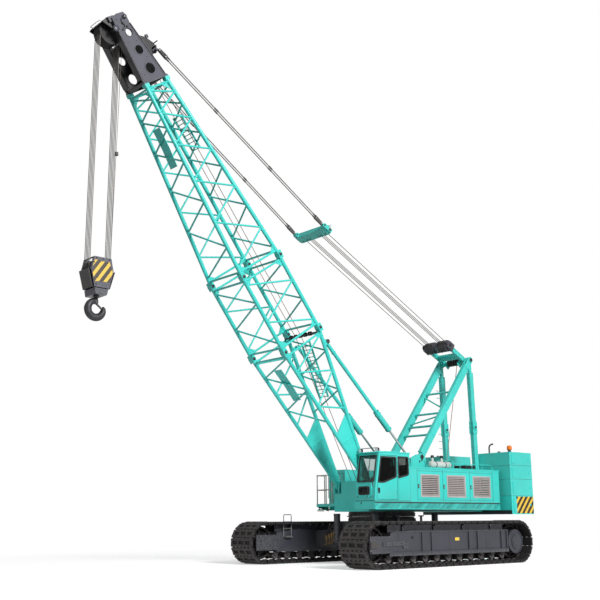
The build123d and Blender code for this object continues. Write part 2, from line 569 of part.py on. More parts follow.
HEAD_LOW = -1040                   # n of the cheeks' straight lower edge
HEAD_PLATE = [(TIP_END, -20), (TIP_END, -1010), (16080, HEAD_LOW), (18210, HEAD_LOW), (18290, -700),
              (18190, -440), (17880, -440)]
HEAD_HOLES = ((17610, -650, 130), (16990, -590, 150), (16320, -510, 180))
LUG_PLATE = [(17540, -390), (17320, 0), (17080, 180), (16920, 240), (16790, 200), (16720, -40), (16600, -180)]
DEFLECTOR = (16920, 80, 190)       # s, n and radius of the rear guide sheaves
HEAD_OUTER, HEAD_WALL = 560, 60
HEAD_INNER = HEAD_OUTER - HEAD_WALL
# plates right across the head: edge member at the joint, the top, and the shelf under the brackets
EDGE_MEMBER = [(TIP_END, -985), (TIP_END + 95, -985), (TIP_END + 95, -925), (TIP_END, -925)]
HEAD_COVER = [(TIP_END, -20), (TIP_END, -80), (17100, -350), (17100, -290)]
BRACKET_SHELF = [(16600, -180), (17100, -290), (17540, -390), (17540, -430), (16600, -240)]
FLANGE_EDGE = [(16080, HEAD_LOW), (18210, HEAD_LOW), (18210, HEAD_LOW + 40), (16080, HEAD_LOW + 40)]
head = []
for points, half in ((EDGE_MEMBER, HEAD_INNER), (HEAD_COVER, HEAD_INNER + 20), (BRACKET_SHELF, 460)):
    head.append(plate(points, -half, half))
for side in (1, -1):
    head.append(plate(HEAD_PLATE, side * HEAD_INNER, side * HEAD_OUTER))
    head.append(plate(FLANGE_EDGE, side * 300, side * 520))
    head.append(plate(LUG_PLATE, side * 400, side * 440))
    head.append(across(*PENDANT_PIN, side * 400, side * 625, 45))
head.append(across(*DEFLECTOR[:2], -620, 620, 30))
head.append(across(*HEAD_SHAFT, -600, 600, 60))
head = fuse([BOOM * piece for piece in head])
for s, n, r in HEAD_HOLES:
    head = head - BOOM * across(s, n, -800, -300, r) - BOOM * across(s, n, 300, 800, r)
save("boom_head", head)


def sheaves(x, z, count=SHEAVE_COUNT):
    """A row of grooved sheaves side by side on one shaft."""
    parts = []
    first = -(count - 1) / 2 * SHEAVE_PITCH
    for i in range(count):
        y = first + i * SHEAVE_PITCH
        parts.append(across(x, z, y - SHEAVE_PITCH / 2, y + SHEAVE_PITCH / 2, SHEAVE_GROOVE))
        for edge in (-30, 20):
            parts.append(across(x, z, y + edge, y + edge + 10, SHEAVE_RIM))
    return fuse(parts)


head_row = [BOOM * (sheaves(*HEAD_SHAFT) - across(*HEAD_SHAFT, -500, 500, 60))]
for y in (-150, 150):
    wheel = across(*DEFLECTOR[:2], y - 35, y + 35, DEFLECTOR[2])
    head_row.append(BOOM * (wheel - across(*DEFLECTOR[:2], -500, 500, 30)))
save("head_sheaves", *head_row)

# ---- hoist ropes, hook block and hook ---------------------------------------------------
shaft_x, _, shaft_z = boom_point(*HEAD_SHAFT)
rope_reach = SHEAVE_GROOVE + ROPE_RADIUS + 2
ropes = []
for i in range(SHEAVE_COUNT):
    y = (i - (SHEAVE_COUNT - 1) / 2) * SHEAVE_PITCH
    for step in (1, -1):
        x = shaft_x + step * rope_reach
        ropes.append(rod((x, y, BLOCK_Z), (x, y, shaft_z), ROPE_RADIUS))
save("hoist_ropes", *ropes)

CHEEK = [(-250, -500), (250, -500), (380, 50), (290, 450), (-290, 450), (-380, 50)]
cheek = [(shaft_x + dx, BLOCK_Z + dz) for dx, dz in CHEEK]
cheeks = [plate(cheek, side * 300, side * 350) for side in (1, -1)]
TRUNK_BOTTOM = BLOCK_Z - 710
trunk = block(shaft_x - 200, shaft_x + 200, -350, 350, TRUNK_BOTTOM, BLOCK_Z - 500)
save("hook_block", fuse(cheeks + [trunk, across(shaft_x, BLOCK_Z, -350, 350, 60)]))
save("block_sheaves", sheaves(shaft_x, BLOCK_Z) - across(shaft_x, BLOCK_Z, -400, 400, 60))

HOOK_RADIUS, HOOK_SECTION, HOOK_Z = 280, 95, 7840
tip_face = Plane.XY * Pos(HOOK_RADIUS, 0) * Circle(HOOK_SECTION)
curl = Location((shaft_x, 0, HOOK_Z)) * Rot(0, -90, 0) * revolve(tip_face, Axis.Y, 285)
hook = fuse([curl, rod((shaft_x, 0, HOOK_Z + HOOK_RADIUS - 60), (shaft_x, 0, TRUNK_BOTTOM - 6), 75)])
save("hook", hook)

# ---- boom hoist: lower block, upper spreader, pendants ----------------------------------
sx, sz = SPREADER
falls = Vector(sx - gx, 0, sz - gz).normalized()
ARM_Y, ARM_HALF, BLOCK_FROM_SHAFT = 540, 40, 1150
ARM_BORE = 60.05
DRUM_RADIUS, DRUM_Y, DRUM_REACH = 215, 330, 200
FALL_Y = (240, 320, 400, 600)      # rope places, from the centre plane
FALL_RADIUS = 12
gantry_shaft = Vector(gx, 0, gz)
block_mid = gantry_shaft + falls * BLOCK_FROM_SHAFT


def aside(y):
    return Vector(0, y, 0)


arms = []
for side in (1, -1):
    start = gantry_shaft + aside(side * ARM_Y)
    arm = beam(start, start + falls * (BLOCK_FROM_SHAFT - DRUM_RADIUS), 170, 2 * ARM_HALF)
    eye = across(gx, gz, side * (ARM_Y - ARM_HALF), side * (ARM_Y + ARM_HALF), 120)
    arms.append(arm.fuse(eye) - across(gx, gz, side * 300, side * 650, ARM_BORE))
web_low, web_high = gantry_shaft + falls * 330, gantry_shaft + falls * 560
arms.append(beam(web_low, web_high, 90, 2 * ARM_Y - 60))
arms.append(rod(web_low - aside(ARM_Y - ARM_HALF), web_low + aside(ARM_Y - ARM_HALF), 95))
save("bridle_arms", fuse(arms))

BLOCK_DEPTH, BLOCK_WIDTH = 280, 1300
lower = [beam(block_mid - falls * DRUM_RADIUS, block_mid + falls * 150, BLOCK_DEPTH, BLOCK_WIDTH)]
for side in (1, -1):
    middle = block_mid + aside(side * DRUM_Y)
    lower.append(rod(middle - aside(DRUM_REACH), middle + aside(DRUM_REACH), DRUM_RADIUS))
    outer = block_mid + aside(side * FALL_Y[-1])
    lower.append(beam(outer + falls * 100, outer + falls * (DRUM_RADIUS - 1), 80, 60))
save("lower_block", fuse(lower))

END_Y, END_REACH, SOCKET = SPREADER_HALF - 100, 230, 420
spreader_mid = Vector(sx, 0, sz)
upper = [beam(spreader_mid - falls * 170, spreader_mid + falls * 170, 200, 2 * END_Y)]
for side in (1, -1):
    end = spreader_mid + aside(side * END_Y)
    eye = end + falls * END_REACH
    upper.append(beam(end - falls * 150, eye, 150, 180))
    upper.append(rod(eye - aside(60), eye + aside(60), 75))
save("upper_spreader", fuse(upper))
rope_a = block_mid + falls * (DRUM_RADIUS + 1)
rope_b = spreader_mid - falls * 172
places = [side * y for y in FALL_Y for side in (1, -1)]
save("boom_hoist_ropes", *[rod(rope_a + aside(y), rope_b + aside(y), FALL_RADIUS) for y in places])

# each pendant is a pair of bars, one above the other, with a socket at either end
BAR_RADIUS, BAR_OFFSET, PENDANT_HEAD_Y = 22, 45, 670
BAR_LIFT = Vector(-0.46, 0, 0.89) * BAR_OFFSET
hx, _, hz = boom_point(*PENDANT_PIN)
pendants = []
for side in (1, -1):
    start = spreader_mid + falls * (END_REACH + 76) + aside(side * END_Y)
    end = Vector(hx, side * PENDANT_HEAD_Y, hz)
    way = (end - start).normalized()
    pieces = [rod(start + BAR_LIFT * k, end + BAR_LIFT * k, BAR_RADIUS) for k in (-1, 1)]
    pieces.append(beam(start, start + way * SOCKET, 150, 70))
    pieces.append(beam(end - way * SOCKET, end, 150, 70))
    pendants.append(fuse(pieces))
save("pendants", *pendants)

# ---- boom backstops ---------------------------------------------------------------------
bx, _, bz = boom_point(*BACKSTOP_PIN)
cx, cz = BACKSTOP_FOOT
down = Vector(cx - bx, 0, cz - bz).normalized()
TUBE_RADIUS, BARREL_RADIUS, TUBE_BORE, ROD_RADIUS = 70, 110, 46, 40
BARREL_FROM, BARREL_TO = 3400, 4300    # along the tube, from the pin on the boom
tubes, rods = [], []
for side in (1, -1):
    y = side * GANTRY_Y
    top, low = Vector(bx, y, bz), Vector(cx, y, cz)
    tube = fuse([rod(top + down * 60, top + down * (BARREL_FROM + 100), TUBE_RADIUS),
                 rod(top + down * BARREL_FROM, top + down * BARREL_TO, BARREL_RADIUS),
                 across(bx, bz, y - 40, y + 40, 90)])
    tube = tube - rod(top + down * 1500, top + down * (BARREL_TO + 100), TUBE_BORE)
    tubes.append(tube - across(bx, bz, y - 60, y + 60, 45.05))
    plunger = rod(top + down * 2700, low - down * 40, ROD_RADIUS)
    rods.append(plunger.fuse(across(cx, cz, y - 40, y + 40, 70)))
save("backstop_tubes", *tubes)
save("backstop_rods", *rods)
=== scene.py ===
"""Looks for the crawler crane: materials, details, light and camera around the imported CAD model."""
import json
from math import atan2, cos, pi, radians, sin, sqrt

import bpy
from mathutils import Matrix, Vector


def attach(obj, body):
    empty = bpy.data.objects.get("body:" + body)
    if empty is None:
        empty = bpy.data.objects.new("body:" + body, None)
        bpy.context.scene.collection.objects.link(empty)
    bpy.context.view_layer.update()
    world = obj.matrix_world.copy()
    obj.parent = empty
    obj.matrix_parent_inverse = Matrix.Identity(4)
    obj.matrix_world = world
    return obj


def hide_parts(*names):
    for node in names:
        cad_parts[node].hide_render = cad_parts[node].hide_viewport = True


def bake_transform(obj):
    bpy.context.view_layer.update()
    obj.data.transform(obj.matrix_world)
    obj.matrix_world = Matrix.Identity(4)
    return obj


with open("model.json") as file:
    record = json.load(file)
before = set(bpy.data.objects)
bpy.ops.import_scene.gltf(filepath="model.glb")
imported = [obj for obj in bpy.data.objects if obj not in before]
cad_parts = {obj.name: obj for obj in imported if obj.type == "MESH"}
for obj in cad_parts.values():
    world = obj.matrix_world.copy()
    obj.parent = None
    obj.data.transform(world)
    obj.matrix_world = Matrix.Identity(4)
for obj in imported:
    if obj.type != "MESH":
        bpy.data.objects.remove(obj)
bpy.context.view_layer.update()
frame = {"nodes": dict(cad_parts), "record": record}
NODES = frame["nodes"]


# ---- materials ---------------------------------------------------------------------------
def srgb(r, g, b):
    """Linear colour from 0-255 display values."""
    def linear(c):
        c /= 255
        return c / 12.92 if c <= 0.04045 else ((c + 0.055) / 1.055) ** 2.4
    return (linear(r), linear(g), linear(b), 1)


class Nodes:
    """A short way to write a node tree."""
    def __init__(self, name):
        self.material = bpy.data.materials.new(name)
        self.material.use_nodes = True
        self.tree = self.material.node_tree
        self.shader = self.tree.nodes["Principled BSDF"]
        self.place = self.make("TexCoord", {}, "Object")

    def put(self, node, inputs):
        for key, value in inputs.items():
            if isinstance(value, bpy.types.NodeSocket):
                self.tree.links.new(value, node.inputs[key])
            else:
                node.inputs[key].default_value = value

    def make(self, kind, inputs, output=0, **settings):
        """One output of a new node."""
        node = self.tree.nodes.new("ShaderNode" + kind)
        for key, value in settings.items():
            setattr(node, key, value)
        self.put(node, inputs)
        return node.outputs[output]

    def noise(self, scale, detail=4.0, rough=0.55, place=None):
        inputs = {"Vector": place or self.place, "Scale": scale, "Detail": detail, "Roughness": rough}
        return self.make("TexNoise", inputs, "Fac")

    def step(self, value, low, high):
        """0 below low, 1 above high."""
        node = self.tree.nodes.new("ShaderNodeValToRGB")
        self.put(node, {"Fac": value})
        for stop, at, level in zip(node.color_ramp.elements, (low, high), (0, 1)):
            stop.position, stop.color = at, (level, level, level, 1)
        return node.outputs["Color"]

    def patches(self, scale, low, high, detail=4.0, rough=0.55):
        return self.step(self.noise(scale, detail, rough), low, high)

    def edges(self, low, high):
        """1 along outer edges."""
        return self.step(self.make("NewGeometry", {}, "Pointiness"), low, high)

    def math(self, operation, a, b=0.0):
        return self.make("Math", {0: a, 1: b}, operation=operation)

    def times(self, a, b):
        return self.math("MULTIPLY", a, b)

    def plus(self, a, b):
        return self.math("ADD", a, b)

    def mix(self, factor, a, b):
        return self.make("Mix", {0: factor, 6: a, 7: b}, 2, data_type="RGBA")

    def axis(self, name, place=None):
        return self.make("SeparateXYZ", {0: place or self.place}, name)

    def bump(self, height, strength, distance=0.002):
        inputs = {"Height": height, "Strength": strength, "Distance": distance}
        self.put(self.shader, {"Normal": self.make("Bump", inputs, "Normal")})

    def finish(self, colour, rough, spread=0.0, scale=5, metallic=0.0, detail=4, **others):
        """Base colour and roughness; spread varies the roughness with a noise."""
        if spread:
            rough = self.plus(rough, self.times(self.noise(scale, detail), spread))
        self.put(self.shader, {"Base Color": colour, "Roughness": rough, "Metallic": metallic})
        self.put(self.shader, {key.replace("_", " "): value for key, value in others.items()})
        return self.material


BARE_METAL, WORN_EDGE = (0.25, 0.24, 0.23, 1), (0.32, 0.31, 0.30, 1)
TEAL, TEAL_SHADE = (56, 203, 194), (45, 191, 181)
VIOLET, VIOLET_SHADE = (66, 66, 80), (54, 54, 66)


def paint(name, colour, shade, dust, dirt, wear, rough=0.34):
    """Enamel: a slow drift of tone, rain streaks, dust on upward faces, chips on edges."""
    n = Nodes(name)
    dust = srgb(*dust)
    base = n.mix(n.patches(0.7, 0.35, 0.75, 3), srgb(*colour), srgb(*shade))
    long_streaks = n.make("Mapping", {"Vector": n.place, "Scale": (9, 9, 0.55)})
    streaks = n.step(n.noise(1.0, 5, 0.6, long_streaks), 0.55, 0.85)
    base = n.mix(n.times(streaks, dirt), base, dust)
    faces_up = n.step(n.axis("Z", n.make("NewGeometry", {}, "Normal")), 0.5, 1.0)
    settled = n.plus(0.12, n.times(n.patches(2.6, 0.4, 0.8, 5), dirt))
    base = n.mix(n.times(faces_up, settled), base, dust)
    chips = n.times(n.edges(0.53, 0.6), n.times(n.patches(34, 0.48, 0.6, 2), wear))
    n.bump(n.plus(n.noise(120, 2), n.times(n.noise(9, 3), 0.6)), 0.05)
    return n.finish(n.mix(chips, base, BARE_METAL), rough, 0.16, Coat_Weight=0.15, Coat_Roughness=0.12)


def steel(name, dark_tone, light_tone, rust, rusty, scale, rough, metallic, bright=0.4):
    """Bare or blackened steel: mottled, rusty in patches, paler along its edges."""
    n = Nodes(name)
    base = n.mix(n.patches(scale, 0.35, 0.7, 6, 0.65), srgb(*dark_tone), srgb(*light_tone))
    base = n.mix(n.times(n.patches(scale * 0.45, 0.5, 0.68, 7, 0.7), rusty), base, srgb(*rust))
    n.bump(n.noise(scale * 9, 5, 0.7), 0.25, 0.004)
    worn = n.mix(n.times(n.edges(0.52, 0.6), bright), base, WORN_EDGE)
    return n.finish(worn, rough, 0.25, 11, metallic)


def stranded(name, dark_wire, light_wire):
    """Wire rope with slanting strands."""
    n = Nodes(name)
    inputs = {"Vector": n.place, "Scale": 14, "Distortion": 1.5}
    lay = n.make("TexWave", inputs, "Fac", bands_direction="DIAGONAL")
    base = n.mix(lay, srgb(*dark_wire), srgb(*light_wire))
    base = n.mix(n.times(n.patches(2.2, 0.45, 0.7), 0.45), base, srgb(112, 92, 74))
    n.bump(lay, 0.6, 0.004)
    return n.finish(base, 0.6, metallic=0.15)


def plain(name, colour, rough, grain=40, **others):
    """Plastic, rubber and cloth: a fine grain with a little drift of tone."""
    n = Nodes(name)
    tone = srgb(*colour)
    lighter = tuple(min(1, c * 1.35 + 0.004) for c in tone[:3]) + (1,)
    n.bump(n.noise(grain, 3), 0.15)
    return n.finish(n.mix(n.patches(3, 0.35, 0.75), tone, lighter), rough, 0.12, 8, detail=3, **others)


def hazard(name, pitch, slope, shift=0.0):
    """Diagonal yellow and black bars on faces that lie along X and Z."""
    n = Nodes(name)
    parts = n.axis("X").node.outputs
    run = n.plus(parts["X"], n.times(parts["Z"], slope))
    turn = n.math("FRACT", n.math("DIVIDE", n.plus(run, 100 + shift), pitch))
    base = n.mix(n.step(turn, 0.525, 0.535), srgb(46, 34, 24), srgb(220, 182, 58))
    n.bump(n.noise(70, 3), 0.08)
    return n.finish(n.mix(n.times(n.patches(14, 0.55, 0.72, 5), 0.5), base, srgb(88, 78, 62)), 0.42)


# colour, shade, dust, how dirty, how chipped, roughness
teal = paint("teal_enamel", TEAL, TEAL_SHADE, (100, 198, 188), 0.3, 0.25)
dark = paint("dark_grey_enamel", (50, 51, 60), (42, 43, 51), (84, 82, 82), 0.4, 0.35, 0.42)
head_paint = paint("violet_grey_enamel", VIOLET, VIOLET_SHADE, (100, 98, 100), 0.3, 0.4, 0.36)
grey = paint("satin_grey", (190, 186, 184), (172, 168, 166), (140, 134, 126), 0.3, 0.3)
slat = paint("slat_grey", (168, 160, 158), (150, 143, 141), (120, 112, 104), 0.5, 0.2)
rail = paint("rail_grey", (196, 200, 196), (170, 176, 172), (130, 130, 124), 0.3, 0.3)
yellow = paint("yellow_enamel", (236, 200, 60), (224, 186, 48), (150, 132, 84), 0.4, 0.4)
brass = paint("yellowed_zinc", (150, 118, 60), (120, 92, 48), (96, 84, 66), 0.4, 0.3, 0.38)

# dark tone, light tone, rust, how rusty, grain, roughness, metallic, how bright the edges are
shoe = steel("shoe_steel", (22, 20, 21), (48, 44, 44), (70, 48, 40), 0.35, 5, 0.55, 0.1, 0.05)
# darker copy of the shoe steel for the pits between the bars: painted shade in the recesses
shoe_pit_painted_shade = steel("shoe_pit_steel_painted_shade", (12, 11, 12), (26, 24, 25), (48, 34, 28), 0.35, 6, 0.7, 0.05, 0.0)
shoe_lug = steel("shoe_lug_steel", (34, 31, 32), (66, 60, 58), (92, 62, 48), 0.4, 6, 0.45, 0.3, 0.15)
greased = steel("greased_steel", (28, 27, 29), (54, 52, 52), (70, 50, 40), 0.25, 9, 0.4, 0.4, 0.2)
forged = steel("forged_steel", (40, 41, 46), (66, 66, 70), (70, 54, 44), 0.15, 8, 0.4, 0.5, 0.2)
sheave_steel = steel("sheave_steel", (18, 17, 19), (34, 32, 34), (56, 42, 34), 0.3, 9, 0.45, 0.2, 0.1)
roller_steel = steel("roller_steel", (78, 74, 76), (112, 106, 106), (96, 70, 54), 0.25, 9, 0.42, 0.4)
chrome = steel("rod_chrome", (190, 190, 192), (220, 220, 222), (150, 148, 144), 0.1, 3, 0.12, 1.0)
zinc = steel("plated_steel", (120, 120, 122), (168, 168, 168), (110, 84, 66), 0.15, 12, 0.32, 0.8)
bar_steel = steel("bar_steel", (74, 72, 74), (104, 100, 98), (96, 70, 56), 0.3, 4, 0.5, 0.4)
rust_line = steel("rust_brown_line", (118, 70, 52), (140, 88, 66), (92, 56, 42), 0.4, 6, 0.6, 0.1)
fall_rope = steel("hoist_rope_steel", (60, 54, 52), (84, 76, 72), (112, 92, 74), 0.2, 5, 0.6, 0.1)
rope = stranded("wire_rope_strands", (52, 47, 44), (74, 68, 64))
inner_rope = stranded("reddish_rope_strands", (104, 66, 54), (142, 98, 82))

rubber = plain("black_rubber", (26, 26, 28), 0.6)
plastic = plain("dark_plastic", (34, 34, 37), 0.45)
cloth = plain("seat_cloth", (44, 44, 50), 0.9, 260)
orange = plain("orange_lens", (240, 120, 20), 0.2, 60, Transmission_Weight=0.3)
white_lens = plain("lamp_lens", (214, 218, 220), 0.15, 90)
hazard_side = hazard("hazard_bars", 0.3, 0.9)
stripes = hazard("hook_block_bars", 0.262, 0.685, 0.11)


def glass_material():
    """The left side's panes are smoked, the windscreen and the right pane clear."""
    n = Nodes("tinted_glass")
    smoked = n.math("GREATER_THAN", n.axis("Y"), 1.85)
    tone = n.mix(smoked, srgb(214, 224, 222), srgb(112, 116, 114))
    return n.finish(tone, 0.03, 0.05, 6, detail=3, Transmission_Weight=0.98, IOR=1.12)


def head_material():
    """The head's enamel, with painted shade: almost black on what lies between its cheeks."""
    n = Nodes("violet_grey_enamel_head_painted_shade")
    outside = n.step(n.math("ABSOLUTE", n.axis("Y")), 0.545, 0.555)
    tone = n.mix(n.patches(0.9, 0.35, 0.7), srgb(*VIOLET), srgb(*VIOLET_SHADE))
    tone = n.mix(n.times(n.patches(6, 0.55, 0.75, 6, 0.7), 0.35), tone, srgb(98, 96, 100))
    # painted shade: all that lies between the cheeks is almost black
    inner = n.mix(n.patches(3, 0.4, 0.7, 5), srgb(20, 19, 21), srgb(34, 32, 34))
    n.bump(n.noise(60, 3), 0.06)
    return n.finish(n.mix(outside, inner, tone), 0.36, 0.2, 7)


def clean_teal(n, covered, cover):
    """Teal enamel with another tone where covered is 1."""
    base = n.mix(n.patches(0.7, 0.35, 0.75, 3), srgb(*TEAL), srgb(*TEAL_SHADE))
    n.bump(n.noise(120, 2), 0.04)
    return n.finish(n.mix(covered, base, cover), 0.34, 0.16, Coat_Weight=0.15)


def deck_material():
    """Enamel with a painted reflection on the decks' long sides: darker there, with slanting paler streaks.
    """
    n = Nodes("teal_enamel_deck_painted_reflection")
    # painted reflection: the long side faces are darkened and crossed by slanting paler streaks
    side_face = n.math("GREATER_THAN", n.math("ABSOLUTE", n.axis("Y")), 1.896)
    slant = n.make("CombineXYZ", {0: n.plus(n.axis("X"), n.times(n.axis("Z"), 1.3))})
    painted_reflection_streaks = n.step(n.noise(2.4, 4, 0.6, slant), 0.42, 0.62)
    return clean_teal(n, n.times(side_face, 0.8), n.mix(painted_reflection_streaks, srgb(26, 128, 120), srgb(66, 190, 182)))


def slab_material():
    """The bottom counterweight, with a dark tray under its front."""
    n = Nodes("teal_enamel_slab")
    tray = n.times(n.math("GREATER_THAN", n.axis("X"), -4.83), n.math("LESS_THAN", n.axis("Z"), 1.88))
    return clean_teal(n, tray, srgb(30, 30, 34))


def platform_material():
    """A teal tread with grey rails above it."""
    n = Nodes("platform_enamels")
    tread = n.math("LESS_THAN", n.axis("Z"), 2.125)
    rails = n.mix(n.patches(2, 0.35, 0.75), srgb(176, 176, 172), srgb(140, 136, 132))
    return n.finish(n.mix(tread, rails, srgb(40, 156, 138)), 0.4, 0.2, 6)


CAD_LOOK = {
    "teal_paint": teal, "frame_paint": dark, "track_steel": shoe, "dark_paint": head_paint,
    "cast_steel": greased, "wire_rope": rope, "grille_grey": slat, "engine_grey": greased,
    "glass": glass_material(), "seat_cloth": cloth, "dark_plastic": plastic, "beacon_orange": orange,
    "rail_grey": rail, "rod_steel": chrome,
}
deck_paint = deck_material()
OWN_LOOK = {"boom_head": head_material(), "counterweight_1": slab_material(),
            "front_platform": platform_material(), "deck_left": deck_paint, "deck_right": deck_paint}
slots = {p["node"]: p["material_slot"] for p in frame["record"]["subparts"]}
for name, node in NODES.items():
    node.data.materials.clear()
    node.data.materials.append(OWN_LOOK[name] if name in OWN_LOOK else CAD_LOOK[slots[name]])

# ---- mesh forms --------------------------------------------------------------------------
SIDES = (("left", 1), ("right", -1))
BOTH = (1, -1)


def wrapped(rings, sides, closed=False):
    """Faces between rings of points, with an end face on both ends or closed on itself."""
    faces = []
    for k in range(rings if closed else rings - 1):
        a, b = k * sides, (k + 1) % rings * sides
        faces += [[a + i, a + (i + 1) % sides, b + (i + 1) % sides, b + i] for i in range(sides)]
    if not closed:
        faces += [list(range(sides))[::-1], list(range((rings - 1) * sides, rings * sides))]
    return faces


def winding(outline):
    """Twice the outline's signed area."""
    return sum(p[0] * q[1] - q[0] * p[1] for p, q in zip(outline[-1:] + outline, outline))


def laid(p, height, axis):
    """A point of an outline on a plane across one axis."""
    return {"Y": (p[0], height, p[1]), "X": (height, p[0], p[1])}[axis]


class Piece:
    """One visible piece, joined from many small forms, that rides on one body."""
    def __init__(self, name, body, *materials):
        self.name, self.body, self.materials = name, body, materials
        self.verts, self.faces, self.looks = [], [], []
        self.place = Matrix.Identity(4)

    def add(self, verts, faces, look=0):
        first = len(self.verts)
        self.verts += [tuple(self.place @ Vector(v)) for v in verts]
        self.faces += [[first + i for i in face] for face in faces]
        self.looks += [look] * len(faces)

    def prism(self, outline, low, high, look=0):
        """An outline of (x, z) points swept along Y."""
        n = len(outline)
        verts = [laid(p, h, "Y") for h in (low, high) for p in outline]
        faces = wrapped(2, n)
        self.add(verts, [f[::-1] for f in faces] if winding(outline) > 0 else faces, look)

    def plate(self, outline, y, half, look=0):
        self.prism(outline, y - half, y + half, look)

    def box(self, x0, x1, y0, y1, z0, z1, look=0):
        self.prism([(x0, z0), (x1, z0), (x1, z1), (x0, z1)], min(y0, y1), max(y0, y1), look)

    def boxes(self, look, *rows):
        for row in rows:
            self.box(*row, look)

    def lathe(self, start, end, profile, look=0, sides=28, closed=False):
        """Turned form: profile of (distance along the axis, radius)."""
        start, along = Vector(start), (Vector(end) - Vector(start)).normalized()
        u = along.orthogonal().normalized()
        v = along.cross(u)
        spokes = [u * x + v * y for x, y in around(sides)]
        verts = [start + along * at + spoke * radius for at, radius in profile for spoke in spokes]
        self.add(verts, wrapped(len(profile), sides, closed), look)

    def cap(self, x, y, z, side, profile, look=0, sides=28):
        """Turned form that stands out sideways, towards +Y or -Y."""
        self.lathe((x, y, z), (x, y + side, z), profile, look, sides)

    def post(self, x, y, z, profile, look=0, sides=28):
        """Turned form that stands upright."""
        self.lathe((x, y, z), (x, y, z + 1), profile, look, sides)

    def rod(self, p, q, radius, look=0, sides=12):
        self.lathe(p, q, [(0, radius), ((Vector(q) - Vector(p)).length, radius)], look, sides)

    def ring(self, start, end, outer, inner, look=0, sides=28):
        length = (Vector(end) - Vector(start)).length
        profile = ((0, outer), (length, outer), (length, inner), (0, inner))
        self.lathe(start, end, profile, look, sides, True)

    def washer(self, x, z, y0, y1, outer, inner, look=0, sides=28):
        """Ring about a line along Y."""
        self.ring((x, y0, z), (x, y1, z), outer, inner, look, sides)

    def tube(self, points, radius, look=0, sides=10, closed=False):
        """Bar along a bent line; radius is one number or one for each point."""
        points = [Vector(p) for p in points]
        n, verts, u = len(points), [], None
        radii = radius if isinstance(radius, list) else [radius] * n
        for i, point in enumerate(points):
            before = points[i - 1] if i or closed else point
            after = points[(i + 1) % n] if i < n - 1 or closed else point
            tangent = (after - before).normalized()
            if u is None:
                u = tangent.orthogonal()
            u = (u - tangent * u.dot(tangent)).normalized()
            v = tangent.cross(u)
            verts += [point + (u * x + v * y) * radii[i] for x, y in around(sides)]
        self.add(verts, wrapped(n, sides, closed), look)

    def bolt(self, place, normal, size=0.018, look=0):
        """Hexagon head on a washer."""
        place, normal = Vector(place), Vector(normal).normalized()
        self.lathe(place, place + normal, [(0, size * 1.25), (size * 0.22, size * 1.25)], look, 12)
        head = [(size * 0.2, size), (size * 0.85, size), (size, size * 0.82)]
        self.lathe(place, place + normal, head, look, 6)

    def done(self, bevel=0.004, replaces=(), segments=2, angle=35):
        mesh = bpy.data.meshes.new(self.name)
        mesh.from_pydata(self.verts, [], self.faces)
        mesh.polygons.foreach_set("material_index", self.looks)
        mesh.polygons.foreach_set("use_smooth", [True] * len(mesh.polygons))
        for material in self.materials:
            mesh.materials.append(material)
        mesh.set_sharp_from_angle(angle=radians(angle))
        made = bpy.data.objects.new(self.name, mesh)
        bpy.context.scene.collection.objects.link(made)
        if bevel:
            edges = made.modifiers.new("edges", "BEVEL")
            edges.width, edges.segments, edges.limit_method = bevel, segments, "ANGLE"
            edges.angle_limit, edges.harden_normals = radians(40), True
        if self.body:
            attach(made, self.body)
        if replaces:
            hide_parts(*replaces)
        return made


def around(count, radius=1.0, start=0.0):
    """Pairs round a circle."""
    turns = [start + 2 * pi * i / count for i in range(count)]
    return [(radius * cos(a), radius * sin(a)) for a in turns]


def arc(centre, radius, start, end, steps=8):
    """2-D points along an arc, angles in degrees."""
    turns = [radians(start + (end - start) * i / steps) for i in range(steps + 1)]
    return [(centre[0] + radius * cos(a), centre[1] + radius * sin(a)) for a in turns]


def both_ways(half, middle=()):
    """A profile from its lower half."""
    return [*half, *middle, *((-at, radius) for at, radius in half[::-1])]


BOOM_X, BOOM_Z, BOOM_ANGLE = 1.29, 2.8, radians(55.9)
BOOM = Matrix.Translation((BOOM_X, 0, BOOM_Z)) @ Matrix.Rotation(-BOOM_ANGLE, 4, "Y")
ALONG_BOOM = Vector((cos(BOOM_ANGLE), 0, sin(BOOM_ANGLE)))
ABOVE_BOOM = Vector((-sin(BOOM_ANGLE), 0, cos(BOOM_ANGLE)))


def boom_point(s, n, y=0.0):
    """A place on the boom: s along it, n up and back, y to the left."""
    return Vector((BOOM_X, y, BOOM_Z)) + ALONG_BOOM * s + ABOVE_BOOM * n


# ---- tracks ------------------------------------------------------------------------------
GAUGE, TRACK_RADIUS, TRACK_REACH, SHOE_COUNT, SHOE_WIDTH = 5.8, 0.75, 3.6, 56, 1.22
STRAIGHT, BEND = 2 * TRACK_REACH, pi * TRACK_RADIUS
PITCH = 2 * (STRAIGHT + BEND) / SHOE_COUNT


def moved(points, x, z):
    return [(x + p[0], z + p[1]) for p in points]


def on_track(distance):
    """Place and direction on the loop's outer line: top run and front bend, then the same turned round."""
    way, turn = (1, 0.0) if distance < STRAIGHT + BEND else (-1, pi)
    distance %= STRAIGHT + BEND
    a = max(0.0, distance - STRAIGHT) / TRACK_RADIUS
    x = min(distance, STRAIGHT) - TRACK_REACH + TRACK_RADIUS * sin(a)
    return Vector((way * x, 0, TRACK_RADIUS + way * TRACK_RADIUS * cos(a))), turn + a


